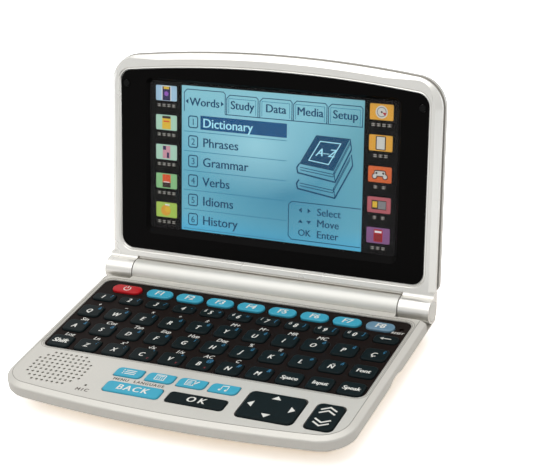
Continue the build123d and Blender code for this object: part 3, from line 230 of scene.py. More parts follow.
def drawn_metal(name, dark, light, cell, stretch, detail, shine, depth, **values):
    """Metal with fine marks along its length."""
    material, tree, shader = shaded(name, **values)
    marks = pattern(tree, "Noise", cell, stretch, Detail=detail)["Fac"]
    put(shader.inputs["Base Color"], mixed(tree, marks, dark, light))
    put(shader.inputs["Roughness"], between(tree, marks, *shine))
    relief(tree, shader, marks, depth)
    return material


def brushed_lacquer(name, dark, light):
    """Zinc barrel, fine brushed along the hinge and lacquered: long soft streaks in the shine.
    Real strokes are about 0.05 mm wide, drawn at 0.3 mm."""
    return drawn_metal(name, dark, light, 0.3, 0.012, 4.0, (0.48, 0.53), 0.0008,
                       Metallic=0.65, Coat_Weight=0.1, Coat_Roughness=0.4)


def plated(name, dark, light, roughness=0.28):
    """Rolled and plated metal: bright, with faint rolling marks along its length."""
    shine = (roughness - 0.06, roughness + 0.1)
    return drawn_metal(name, dark, light, 0.5, 0.08, 3.0, shine, 0.003, Metallic=1.0)


def moulded(name, dark, light, roughness, grain=0.5, depth=0.01, specular=0.5, **more):
    """Injection-moulded plastic with a spark-eroded grain: a faint mottle and a soft, broken shine.
    The grain is about 0.08 mm, drawn coarser so that it shows."""
    material, tree, shader = shaded(name, Specular_IOR_Level=specular, Base_Color=light, **more)
    fine = pattern(tree, "Noise", grain, Detail=4.0, Roughness=0.6)["Fac"]
    broad = pattern(tree, "Noise", 9.0)["Fac"]
    both = mixed(tree, 0.45, fine, broad, colour=False)
    put(shader.inputs["Base Color"], mixed(tree, both, dark, light))
    put(shader.inputs["Roughness"], between(tree, both, roughness - 0.06, roughness + 0.06))
    relief(tree, shader, fine, depth)
    return material


def pad_ink(name, code, roughness=0.45):
    """Pad-printed ink: nearly even, a little thin in places, dull against the key."""
    return moulded(name, shade(linear(code), 0.82), code, roughness, 0.25, 0.003, 0.3)


def crystal_ink(name, code):
    """Switched segments of the liquid crystal: they hold back the lamp's light and glow little."""
    return moulded(name, shade(linear(code), 0.9), code, 0.5, 0.3, 0.0, 0.1,
                   Emission_Color=code, Emission_Strength=0.35)


def solder_mask(name, dark, light, gold):
    """FR-4 laminate under green solder mask: lighter green tracks and small gilded pads."""
    material, tree, shader = shaded(name, Roughness=0.35, Coat_Weight=0.3, Coat_Roughness=0.2)
    tracks = bricks(tree, 1.0, dark, light, 0.12, 2.6, 0.9)
    pads = maths(tree, "LESS_THAN", pattern(tree, "Voronoi", 2.2)["Distance"], 0.16)
    put(shader.inputs["Base Color"], mixed(tree, pads, tracks["Color"], gold))
    relief(tree, shader, tracks["Fac"], 0.02)
    return material


def woven_cloth(name, dark, light):
    """Black polyester dust cloth behind the grille: threads about 0.15 mm, drawn at 0.3 mm."""
    material, tree, shader = shaded(name, Roughness=0.9, Specular_IOR_Level=0.2)
    threads = bricks(tree, 0.3, light, dark, 0.2)
    put(shader.inputs["Base Color"], threads["Color"])
    relief(tree, shader, threads["Fac"], 0.04)
    return material


def cast_acrylic(name):
    """Clear cast acrylic with an anti-glare coat: only a trace of reflection is seen, so the coated
    face is given a lower index than the 1.49 of the bare sheet."""
    material, tree, shader = shaded(name, Base_Color="#ffffff", IOR=1.2, Transmission_Weight=1.0)
    haze = pattern(tree, "Noise", 6.0)["Fac"]
    put(shader.inputs["Roughness"], between(tree, haze, 0.0, 0.02))
    return material


def lit_glass(name, upper, centre, glow, painted_light_pools):
    """Back-lit liquid crystal: pale cyan at the top and brighter again along the bottom, where the
    lamp sits, with soft round patches of painted shade and a painted highlight laid over it. A
    patch has its middle and its reach as shares of the screen's width and height."""
    material, tree, shader = shaded(
        name, Base_Color="#2c5566", Roughness=0.4, Specular_IOR_Level=0.1, Emission_Strength=0.8
    )
    place = add(tree, "ShaderNodeTexCoord").outputs["UV"]
    up = add(tree, "ShaderNodeSeparateXYZ", place).outputs["Y"]
    ramp = add(tree, "ShaderNodeValToRGB", up)
    stops = ramp.color_ramp.elements
    stops[0].color = linear(glow)
    stops[1].color = linear(upper)
    for spot in (0.14, 0.5):
        stops.new(spot).color = linear(centre)
    tone = ramp.outputs["Color"]
    # each round patch is painted shade or a painted highlight, mixed over the lamp's tone
    for spot, reach, colour in painted_light_pools:
        move = [-at / far for at, far in zip(spot, reach)] + [0.0]
        size = [1.0 / far for far in reach] + [1.0]
        near = add(tree, "ShaderNodeMapping", place, Location=move, Scale=size).outputs[0]
        tone = mixed(tree, painted_light_spot(tree, near), tone, colour)
    put(shader.inputs["Emission Color"], tone)
    return material


MADE = {}


def finishes():
    """Every finish of the object by the name of its slot, made once."""
    if MADE:
        return MADE
    colours = bpy.context.scene.dictionary_colours

    def of(name, level):
        """A colour that the user may change, darkened and plain."""
        colour = getattr(colours, name)
        return shade(colour, level), shade(colour, 1.0)

    MADE.update(
        silver_case=metallic_lacquer(
            "silver lacquered ABS, case", *of("case", 0.86), 0.46, metal=0.35, coat=0.1
        ),
        silver_lid=metallic_lacquer("silver lacquered ABS, lid back", *of("cover", 0.88), 0.34),
        pearl_frame=metallic_lacquer("pearl lacquered ABS", *of("frame", 0.92), 0.26, metal=0.6),
        satin_barrel=brushed_lacquer("brushed zinc", *of("barrel", 0.96)),
        contact_brass=plated("gilded brass", "#b98f3c", "#e0bb62"),
        plated_steel=plated("nickel-plated steel", "#9a9ca0", "#c9cbce"),
        speaker_steel=plated("pressed steel", "#6f7274", "#9b9ea0", 0.35),
        circuit_board=solder_mask("solder mask on FR-4", "#0f4a2b", "#1f6a40", "#c9a24a"),
        clear_lens=cast_acrylic("cast acrylic"),
        dust_cloth=woven_cloth("woven polyester", "#050505", "#161616"),
        battery_wrap=moulded("PVC shrink film", "#20558e", "#2d6aa8", 0.3, Coat_Weight=0.3),
    )
    for slot, *look in (
        # slot, material, dark, light, roughness, grain, depth, specular
        ("key_plastic", "dark keycap ABS", *of("keys", 0.7), 0.42, 0.3, 0.01, 0.07),
        ("red_key", "red keycap ABS", *of("power", 0.85), 0.36, 0.3, 0.006, 0.22),
        ("blue_key", "blue keycap ABS", *of("shortcuts", 0.88), 0.36, 0.3, 0.006, 0.3),
        ("mauve_key", "mauve keycap ABS", "#5b839b", "#6f96ad", 0.34, 0.3, 0.006),
        ("black_bezel", "satin black ABS", "#060505", "#0b0a09", 0.3, 0.4, 0.003, 0.035),
        ("black_rubber", "moulded rubber", "#080808", "#121211", 0.75, 0.4, 0.03, 0.12),
        ("panel_plastic", "matt black polycarbonate", "#120c0a", "#1c1310", 0.55, 0.35, 0.01, 0.06),
        ("inner_plastic", "grey ABS", "#3a3b3c", "#4a4b4c", 0.5),
        ("mat_rubber", "silicone rubber", "#2b2e30", "#3a3d3f", 0.65, 0.6),
        ("chip_plastic", "moulding epoxy", "#131313", "#1f1f20", 0.55, 0.2),
        ("printed_card", "black printed card", "#0a090a", "#121011", 0.55, 0.3, 0.01, 0.08),
        ("display_glass", "dark display glass", "#0a1b26", "#123040", 0.2, 2.0, 0.0),
        ("flex_film", "polyimide film", "#a8651c", "#c8852c", 0.3),
        # painted shade: the grey beads stand for the shadow in the panel's grooves and the deck's
        # crease
        ("groove_grey", "shaded groove", "#7d7a73", "#8a877f", 0.6, 0.3),
    ):
        MADE[slot] = moulded(*look)
    for ink, code in (("white", "#f2f1ea"), ("blue", "#347da6"), ("red", "#8f2f35"),
                      ("brown", "#43372e"), ("grey", "#a5a29a")):
        MADE[ink + "_ink"] = pad_ink(ink + " pad ink", code)
    return MADE


# ---------------------------------------------------------------- shapes


def linked(name, data):
    """A new object in the scene."""
    obj = bpy.data.objects.new(name, data)
    bpy.context.scene.collection.objects.link(obj)
    return obj


def mesh_of(name, bm):
    mesh = bpy.data.meshes.new(name)
    bm.to_mesh(mesh)
    bm.free()
    return mesh


def skin(bm, ring, following):
    """Faces between two rings of as many points."""
    for i in range(len(ring)):
        j = (i + 1) % len(ring)
        bm.faces.new((ring[i], ring[j], following[j], following[i]))


def turned(x, y, radius, start, end, steps):
    """Points along a part of a circle, from one angle to another in degrees."""
    angles = (radians(start + (end - start) * i / steps) for i in range(steps + 1))
    return [(x + radius * cos(angle), y + radius * sin(angle)) for angle in angles]


class Plates:
    """Thin closed plates drawn in one plane, in mm, such as printed ink. Every place is given from
    the point x, y and upwards, or downwards where up is -1."""

    def __init__(self, low, high, x=0.0, y=0.0, up=1):
        self.bm = bmesh.new()
        self.low, self.high = low, high
        self.x, self.y, self.up = x, y, up

    def polygon(self, *points):
        """A convex or plain outline, raised from low to high."""
        ring = [(self.x + a, self.y + self.up * b) for a, b in points]
        area = sum(a[0] * b[1] - b[0] * a[1] for a, b in zip(ring, ring[1:] + ring[:1]))
        ring = ring if area > 0 else ring[::-1]
        bottom = [self.bm.verts.new((*spot, self.low)) for spot in ring]
        top = [self.bm.verts.new((*spot, self.high)) for spot in ring]
        self.bm.faces.new(top)
        self.bm.faces.new(bottom[::-1])
        skin(self.bm, bottom, top)

    def bar(self, x, y, width, height, corner=0.0):
        """A bar about its centre, rounded where a corner is given."""
        outline = []
        for quarter, (a, b) in enumerate(((1, -1), (1, 1), (-1, 1), (-1, -1)), -1):
            a, b = x + a * (width / 2 - corner), y + b * (height / 2 - corner)
            start = 90 * quarter
            outline += turned(a, b, corner, start, start + 90, 4) if corner else [(a, b)]
        self.polygon(*outline)

    def disc(self, x, y, radius, sides):
        self.polygon(*turned(x, y, radius, 0, 360, sides)[:-1])

    def stroke(self, width, *points, closed=False):
        """A line of even width with mitred corners."""
        spots = [Vector(point) for point in points]
        count = len(spots)
        sides = []
        for i, here in enumerate(spots):
            after = spots[(i + 1) % count]
            lead = (here - spots[i - 1]).normalized() if closed or i > 0 else None
            out = (after - here).normalized() if closed or i < count - 1 else None
            along, narrowing = lead or out, 1.0
            if lead and out:
                along = (lead + out).normalized()
                narrowing = max(0.35, abs(along.dot(out)))
            reach = Vector((-along.y, along.x)) * (width / 2 / narrowing)
            sides.append((here + reach, here - reach))
        for i in range(count if closed else count - 1):
            (left, right), (next_left, next_right) = sides[i], sides[(i + 1) % count]
            self.polygon(right, next_right, next_left, left)

    def arc(self, x, y, radius, width, start, end, steps):
        """Part of a ring, from one angle to another in degrees."""
        self.stroke(width, *turned(x, y, radius, start, end, steps))

    def frame(self, x, y, width, height, line, cut=0.0):
        """A rectangle's outline, with its corners cut where that is given."""
        a, b = width / 2, height / 2
        points = [(-a, -b), (a, -b), (a, b), (-a, b)]
        if cut > 0:
            c, d = a - cut, b - cut
            points = [(-c, -b), (c, -b), (a, -d), (a, d), (c, b), (-c, b), (-a, d), (-a, -d)]
        self.stroke(line, *((x + p, y + q) for p, q in points), closed=True)

    def text(self, words, x, y, height, lean=0.0, weight=0.0, align="CENTER", spacing=1.0,
             narrow=1.0):
        """Words whose capitals have that height, centred on their own middle line. Bold words are
        struck three times, each a little to the side, because a thickened outline would fold."""
        curve = bpy.data.curves.new("words", "FONT")
        for name, value in (
            ("body", words), ("size", height / 0.69), ("shear", lean), ("resolution_u", 3),
            ("space_character", spacing), ("align_x", align), ("align_y", "BOTTOM_BASELINE"),
            ("extrude", (self.high - self.low) / 2), ("fill_mode", "BOTH"),
        ):
            setattr(curve, name, value)
        holder = bpy.data.objects.new("words", curve)
        mesh = bpy.data.meshes.new_from_object(holder)
        x, y = self.x + x, self.y + self.up * y
        spot = Matrix.Translation((x, y, (self.high + self.low) / 2))
        down = Matrix.Translation((0, -height / 2, 0))
        mesh.transform(spot @ Matrix.Diagonal((narrow, 1, 1, 1)) @ down)
        welded = bmesh.new()
        welded.from_mesh(mesh)
        bmesh.ops.remove_doubles(welded, verts=welded.verts, dist=1e-4)
        welded.to_mesh(mesh)
        welded.free()
        for strike in (-1, 0, 1) if weight else (0,):
            # each strike lies a little higher, so that no two faces share a plane
            struck = mesh.copy()
            struck.transform(Matrix.Translation((strike * weight, 0, strike * 0.006)))
            self.bm.from_mesh(struck)
            bpy.data.meshes.remove(struck)
        bpy.data.objects.remove(holder)
        bpy.data.curves.remove(curve)
        bpy.data.meshes.remove(mesh)


def carried(name, mesh, body):
    """The mesh as an object that rides on its body."""
    obj = linked(name, mesh)
    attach(obj, body)
    return obj


def piece(name, drawn, finish, body):
    """One finished piece, drawn in mm, in lid coordinates where the lid is its body."""
    bm = drawn.bm if isinstance(drawn, Plates) else drawn
    place = LID if body == "lid" else BASE
    bmesh.ops.transform(bm, matrix=place @ Matrix.Scale(MM, 4), verts=bm.verts)
    mesh = mesh_of(name, bm)
    mesh.materials.append(finishes()[finish])
    return carried(name, mesh, body)


# ---------------------------------------------------------------- geometry node trees


def grower(tree):
    """Adds a geometry node and gives its first output."""
    return lambda kind, *values, **named: add(
        tree, "GeometryNode" + kind, *values, **named
    ).outputs[0]


def node_tree(name, counts, sizes, draw):
    """A geometry tree whose inputs are counts, sizes and a finish. What it draws from them becomes
    plain mesh in that finish."""
    tree = bpy.data.node_groups.new(name, "GeometryNodeTree")
    inputs = [("Geometry", "Geometry")] + [(label, "Int") for label in counts]
    inputs += [(label, "Float") for label in sizes] + [("Finish", "Material")]
    for label, kind in inputs:
        tree.interface.new_socket(label, in_out="INPUT", socket_type="NodeSocket" + kind)
    tree.interface.new_socket("Geometry", in_out="OUTPUT", socket_type="NodeSocketGeometry")
    given, grow = add(tree, "NodeGroupInput").outputs, grower(tree)
    plain = grow("RealizeInstances", draw(tree, given, grow))
    add(tree, "NodeGroupOutput", grow("SetMaterial", plain, Material=given["Finish"]))
    return tree


def tube(grow, curve, radius, sides, caps=False):
    """A round section swept along a curve."""
    section = grow("CurvePrimitiveCircle", Resolution=sides, Radius=radius)
    return grow("CurveToMesh", curve, section, Fill_Caps=caps)


def hole_rims_tree():
    """Rounded rims on a square grid whose corners are left off, one round each hole."""

    def draw(tree, given, grow):
        pitch = given["Pitch"]
        width, depth = (
            maths(tree, "MULTIPLY", maths(tree, "SUBTRACT", given[count], 1.0), pitch)
            for count in ("Columns", "Rows")
        )
        grid = grow("MeshGrid", width, depth, given["Columns"], given["Rows"])
        axes = add(tree, "ShaderNodeSeparateXYZ", grow("InputPosition")).outputs
        far = maths(tree, "ADD", *(maths(tree, "ABSOLUTE", axes[axis]) for axis in "XY"))
        reach = maths(tree, "MULTIPLY", given["Reach"], pitch)
        outside = maths(tree, "GREATER_THAN", far, reach)
        kept = grow("DeleteGeometry", grid, outside)
        ring = grow("CurvePrimitiveCircle", Resolution=16, Radius=given["Hole Radius"])
        rim = tube(grow, ring, given["Bead Radius"], 5)
        return grow("InstanceOnPoints", kept, Instance=rim)

    sizes = ("Pitch", "Reach", "Hole Radius", "Bead Radius")
    return node_tree("Hole rims", ("Columns", "Rows"), sizes, draw)


def bead_line_tree():
    """A fine bead along a rectangle with rounded corners."""

    def draw(tree, given, grow):
        box = grow("CurvePrimitiveQuadrilateral", Width=given["Width"], Height=given["Depth"])
        rounded = grow(
            "FilletCurve", box, Radius=given["Corner"], Limit_Radius=True, Count=10, mode="POLY"
        )
        return tube(grow, rounded, given["Bead Radius"], 8)

    return node_tree("Bead line", (), ("Width", "Depth", "Corner", "Bead Radius"), draw)


def followed_edge_tree():
    """A fine bead along the edges of the mesh it is given."""

    def draw(tree, given, grow):
        path = grow("MeshToCurve", given["Geometry"])
        return tube(grow, path, given["Bead Radius"], 6, caps=True)

    return node_tree("Followed edge", (), ("Bead Radius",), draw)


def rib_row_tree():
    """A row of straight ribs with round backs and closed ends."""

    def draw(tree, given, grow):
        def along(axis, value):
            return add(tree, "ShaderNodeCombineXYZ", **{axis: value}).outputs[0]

        half = maths(tree, "MULTIPLY", given["Length"], 0.5)
        back = maths(tree, "MULTIPLY", half, -1.0)
        spine = grow("CurvePrimitiveLine", Start=along("X", back), End=along("X", half))
        rib = tube(grow, spine, given["Rib Radius"], 8, caps=True)
        less = maths(tree, "SUBTRACT", given["Count"], 1.0)
        first = maths(tree, "MULTIPLY", maths(tree, "MULTIPLY", less, given["Pitch"]), -0.5)
        places = grow("MeshLine", Count=given["Count"], Start_Location=along("Y", first),
                      Offset=along("Y", given["Pitch"]), mode="OFFSET")
        return grow("InstanceOnPoints", places, Instance=rib)

    return node_tree("Rib row", ("Count",), ("Pitch", "Length", "Rib Radius"), draw)


def grown(name, tree, values, finish, place, body, seed=None):
    """Runs a geometry tree once and keeps its result as a plain mesh on a body."""
    holder = linked(name + "_seed", seed or bpy.data.meshes.new(name + "_seed"))
    modifier = holder.modifiers.new("Grow", "NODES")
    modifier.node_group = tree
    values = dict(values, Finish=finishes()[finish])
    for item in tree.interface.items_tree:
        if item.in_out == "INPUT" and item.name in values:
            modifier[item.identifier] = values[item.name]
    bpy.context.view_layer.update()
    ready = holder.evaluated_get(bpy.context.evaluated_depsgraph_get())
    mesh = bpy.data.meshes.new_from_object(ready)
    bpy.data.objects.remove(holder)
    if not mesh.polygons:
        raise RuntimeError(name + " came out empty")
    mesh.name = name
    mesh.transform(place @ Matrix.Scale(MM, 4))
    return carried(name, mesh, body)


# ---------------------------------------------------------------- sizes and colours to change


def colour_of(label, text, code):
    return bpy.props.FloatVectorProperty(
        name=label, description=text, subtype="COLOR", size=3, min=0.0, max=1.0,
        default=linear(code)[:3],
    )


def size_of(label, text, value, least, most):
    return bpy.props.FloatProperty(
        name=label, description=text, default=value, min=least, max=most
    )


class DictionaryColours(bpy.types.PropertyGroup):
    """Colours of the main finishes."""

    case: colour_of("Case", "Silver lacquer of the case", "#d7d4cc")
    cover: colour_of("Lid back", "Silver lacquer of the lid's back", "#c6c3bb")
    frame: colour_of("Lid frame", "Pearl lacquer round the screen bezel", "#e4e2dc")
    barrel: colour_of("Barrel", "Lacquered hinge barrel", "#d6d5cf")
    keys: colour_of("Keys", "Dark keys", "#0f1b1d")
    power: colour_of("Power key", "Power key", "#c4121d")
    shortcuts: colour_of("Blue keys", "Function and shortcut keys", "#3daecb")


class DictionarySizes(bpy.types.PropertyGroup):
    """Sizes of the printed and raised details, in millimetres."""

    letter: size_of("Letter", "Height of the letters on the keys, mm", 2.15, 1.0, 4.0)
    small: size_of("Small letter", "Height of the legends between the keys, mm", 1.85, 0.5, 2.4)
    slant: size_of("Slant", "Slant of the legends, mm across per mm of height", 0.24, 0.0, 0.6)
    ink: size_of("Ink", "How far the printed ink stands proud, mm", 0.03, 0.01, 0.2)
    weight: size_of("Weight", "How far a bold word is struck to each side, mm", 0.12, 0.0, 0.3)


# ---------------------------------------------------------------- operators


class DICTIONARY_OT_finishes(bpy.types.Operator):
    """Gives every solid of the frame the finish of its slot"""

    bl_idname = "dictionary.finishes"
    bl_label = "Finishes"

    def execute(self, context):
        made = finishes()
        for node in frame["nodes"].values():
            for place in node.material_slots:
                name = place.material.name.split(".")[0] if place.material else "inner_plastic"
                if name not in made:
                    raise RuntimeError("no finish for the slot " + name)
                place.material = made[name]
        frame["nodes"]["function_key_8"].material_slots[0].material = made["mauve_key"]
        return {"FINISHED"}


INK_SINK = 0.02  # how far ink reaches into the face below it, mm
THIN = 0.04  # weight of the smallest marks on the keys, mm


def ink_on(top, x=0.0, y=0.0):
    """Plates for ink on a flat face at that height."""
    return Plates(top - INK_SINK, top + bpy.context.scene.dictionary_sizes.ink, x, y)


def mark(node, draw, name=None):
    """White ink on top of a key, drawn about its middle."""
    spot = middle(node)
    plates = ink_on(top_of(node), spot.x, spot.y)
    draw(plates)
    piece(name or node + "_mark", plates, "white_ink", node)


def print_words(name, marks, top, finish, body):
    """Prints words on one flat face: each mark is words, x, y, height, lean and weight. A single
    letter is a little narrower than the typeface has it."""
    plates = ink_on(top)
    for words, x, y, height, lean, weight in marks:
        narrow = 0.86 if len(words) < 2 else 1.0
        plates.text(words, x, y, height, lean=lean, weight=weight, narrow=narrow)
    piece(name, plates, finish, body)


class DICTIONARY_OT_key_letters(bpy.types.Operator):
    """Prints the letters, digits and words on the keys of the panel"""

    bl_idname = "dictionary.key_letters"
    bl_label = "Key letters"

    # places from the middle of the key, mm
    left, letter_down, digit_down = 0.5, 0.35, 0.1
    vowel_left, vowel_up = 2.7, 0.8

    def execute(self, context):
        s = context.scene.dictionary_sizes
        bold = s.weight * 0.8
        whole_word = (s.letter * 0.84, s.slant * 0.5, bold)
        # each row, its words from left to right and its first column; a space leaves a key bare
        rows = (
            ("letter_keys_upper", list("QWERTYUIOPÇ"), 0),
            ("letter_keys_middle", list("ASDFGHJKLÑ") + ["Font"], 0),
            ("letter_keys_lower", list("ZXCVBNM ") + ["Input", "Speak"], 1),
        )
        for row, words, first in rows:
            y = middle(row).y
            low = y - self.letter_down
            marks = []
            for i, word in enumerate(words, first):
                if len(word) > 1:
                    marks.append((word, column(i), y, *whole_word))
                elif word.strip():
                    marks.append((word, column(i) - self.left, low, s.letter, s.slant, bold))
            print_words(row + "_legends", marks, KEY_TOP, "white_ink", row)
        y = middle("digit_keys").y
        digits = [
            (digit, column(i) - self.left, y - self.digit_down, s.letter, s.slant, bold)
            for i, digit in enumerate("1234567890")
        ]
        digits += [
            (vowel, column(i) - self.vowel_left, y + self.vowel_up, s.small * 0.85, s.slant, THIN)
            for i, vowel in enumerate("áéíóúü", 4)
        ]
        print_words("digit_legends", digits, KEY_TOP, "white_ink", "digit_keys")
        spot = middle("shift_key")
        shift = ("Shift", spot.x - 0.2, spot.y, s.letter * 1.06, s.slant, s.weight)
        print_words("shift_legend", [shift], KEY_TOP, "white_ink", "shift_key")
        spot = middle("space_key")
        space = ("Space", spot.x, spot.y, *whole_word)
        print_words("space_legend", [space], KEY_TOP, "white_ink", "space_key")
        mark("backspace_key", self.arrow, "backspace_legend")
        return {"FINISHED"}

    def arrow(self, ink):
        ink.stroke(0.36, (-1.5, 0), (1.8, 0))
        ink.polygon((-2.1, 0), (-0.9, -0.75), (-0.9, 0.75))


class DICTIONARY_OT_second_marks(bpy.types.Operator):
    """Prints the small coloured marks in the corners of the keys"""

    bl_idname = "dictionary.second_marks"
    bl_label = "Corner marks"

    right = 2.6  # from the middle of the key, mm

    def execute(self, context):
        s = context.scene.dictionary_sizes
        for row, kind, words, first, up, share, ink in (
            # row, kind, marks, first column, up from the middle, share of a small letter, ink
            ("letter_keys_upper", "corner", "àèìòùâêîôûç", 0, 2.0, 0.9, "blue_ink"),
            ("letter_keys_middle", "corner", "ãõäëïöüåøñ", 0, 2.0, 0.9, "blue_ink"),
            ("letter_keys_lower", "corner", ";:'\"@#&", 1, 2.0, 0.9, "blue_ink"),
            ("digit_keys", "corner", "!?/-+=()[]", 0, 0.8, 0.9, "blue_ink"),
            ("letter_keys_lower", "red", "cvx", 3, -1.9, 0.66, "red_ink"),
        ):
            y = middle(row).y + up
            marks = [
                (word, column(i) + self.right, y, s.small * share, s.slant, THIN)
                for i, word in enumerate(words, first)
            ]
            print_words("%s_%s_marks" % (row, kind), marks, KEY_TOP, ink, row)
        return {"FINISHED"}


class DICTIONARY_OT_panel_legends(bpy.types.Operator):
    """Prints the calculator functions on the panel between the rows of keys"""

    bl_idname = "dictionary.panel_legends"
    bl_label = "Panel legends"

    right, above = 0.6, 5.1  # from the middle of the key below, mm
    weight = 0.03

    def execute(self, context):
        s = context.scene.dictionary_sizes
        look = (s.slant, self.weight)
        rows = (
            ("letter_keys_upper", ["+", "−", "×", "÷", "±", "M+", "M−", "MR", "MC"]),
            ("letter_keys_middle", ["Sin", "Cos", "Tan", "Exp", "Hyp", "Deg", "%", "π"]),
            ("letter_keys_lower", ["Log", "Ln", "x²", "√x", "1/x", "AC", "C"]),
        )
        marks = [
            (word, column(i) + self.right, middle(row).y + self.above, s.small * 0.95, *look)
            for row, words in rows
            for i, word in enumerate(words)
        ]
        x, y = middle("reset_plunger").xy
        marks.append(("RESET", x - 0.7, y - 2.3, s.small * 0.6, *look))
        print_words("panel_legends", marks, PANEL_TOP, "white_ink", "base")
        return {"FINISHED"}


class DICTIONARY_OT_deck_marks(bpy.types.Operator):
    """Prints the dark words on the silver deck"""

    bl_idname = "dictionary.deck_marks"
    bl_label = "Deck marks"

    def execute(self, context):
        left = middle("shortcut_key_1").x
        gap = (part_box("shortcut_key_1")[0].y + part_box("back_key")[1].y) / 2 / MM
        mic = middle("microphone")
        plates = ink_on(DECK_TOP)
        plates.text("MENU", left - 1.0, gap, 1.3, weight=0.05, spacing=1.2)
        plates.text("LANGUAGE", left + 9.5, gap, 1.3, weight=0.05, spacing=1.2)
        plates.text("MIC", mic.x, mic.y - 2.6, 1.5, lean=0.1, weight=0.06, spacing=1.5)
        piece("deck_words", plates, "brown_ink", "base")
        return {"FINISHED"}


class DICTIONARY_OT_pill_marks(bpy.types.Operator):
    """Prints the marks on the power, function and shortcut keys"""

    bl_idname = "dictionary.pill_marks"
    bl_label = "Pill and shortcut marks"

    def execute(self, context):
        s = context.scene.dictionary_sizes
        mark("power_key", self.power, "power_symbol")
        for i in range(1, 9):
            word = ("F%d" % i, 0, 0, 2.5, s.slant * 0.6, s.weight)
            mark("function_key_%d" % i, lambda ink: ink.text(*word))
        for i, draw in enumerate((self.menu, self.calculator, self.pencil, self.notes), 1):
            mark("shortcut_key_%d" % i, draw)
        return {"FINISHED"}

    def power(self, ink):
        ink.arc(0, 0, 1.25, 0.36, 125, 415, 24)
        ink.bar(0, 0.95, 0.36, 1.3)

    def menu(self, ink):
        for row in (-0.95, 0.0, 0.95):
            ink.disc(-2.1, row, 0.27, 12)
            ink.bar(0.5, row, 3.9, 0.4)

    def calculator(self, ink):
        ink.frame(0, 0, 3.4, 2.8, 0.3)
        ink.bar(0, 0.78, 2.4, 0.42)
        for across in (-0.85, 0.0, 0.85):
            for row in (-0.05, -0.75):
                ink.bar(across, row, 0.42, 0.36)

    def pencil(self, ink):
        ink.frame(-0.6, 0, 3.0, 2.8, 0.3)
        for row in (0.55, -0.1, -0.75):
            ink.bar(-0.8, row, 1.7, 0.26)
        ink.stroke(0.5, (0.6, -0.9), (2.3, 1.2))

    def notes(self, ink):
        for side in (-0.9, 1.3):
            ink.disc(side - 0.35, -1.0, 0.5, 16)
            ink.bar(side, 0.1, 0.28, 2.1)
        ink.polygon((-1.04, 0.85), (1.44, 1.15), (1.44, 1.6), (-1.04, 1.3))


class DICTIONARY_OT_command_marks(bpy.types.Operator):
    """Prints the marks on the back and confirm keys, the navigation pad and the page rocker"""

    bl_idname = "dictionary.command_marks"
    bl_label = "Command marks"

    def execute(self, context):
        s = context.scene.dictionary_sizes
        for node, word, gap in (("back_key", "BACK", 1.25), ("confirm_key", "OK", 1.5)):
            mark(node, lambda ink: ink.text(word, 0, 0, 2.7, 0.12, s.weight, spacing=gap))
        mark("nav_pad", self.arrows, "pad_arrows")
        mark("page_rocker", self.chevrons, "rocker_chevrons")
        return {"FINISHED"}

    def arrows(self, ink):
        for turn, reach in enumerate((7.3, 4.9, 7.3, 4.9)):
            spin = Matrix.Rotation(turn * pi / 2, 2)
            arrow = ((reach + 1.0, 0), (reach - 0.9, 1.6), (reach - 0.9, -1.6))
            ink.polygon(*(spin @ Vector(point) for point in arrow))

    def chevrons(self, ink):
        for side in (1, -1):
            for foot in (1.5, 3.3):
                ink.stroke(0.62, (-2.7, side * foot), (0, side * (foot + 1.7)), (2.7, side * foot))


class DICTIONARY_OT_grille(bpy.types.Operator):
    """Rounds the rims of the speaker's holes and lays the dust cloth behind them"""

    bl_idname = "dictionary.grille"
    bl_label = "Speaker grille"

    def execute(self, context):
        x, y = middle("speaker").xy
        values = {"Columns": 11, "Rows": 9, "Pitch": 2.0, "Reach": 7.5, "Hole Radius": 0.53,
                  "Bead Radius": 0.045}
        place = Matrix.Translation((x * MM, y * MM, (DECK_TOP - 0.01) * MM))
        grown("grille_rims", hole_rims_tree(), values, "silver_case", place, "base")
        under = top_of("speaker")
        cloth = Plates(under + 0.01, under + 0.09)
        cloth.disc(x, y, span("speaker").x / 2 - 0.3, 64)
        piece("dust_cloth", cloth, "dust_cloth", "base")
        return {"FINISHED"}


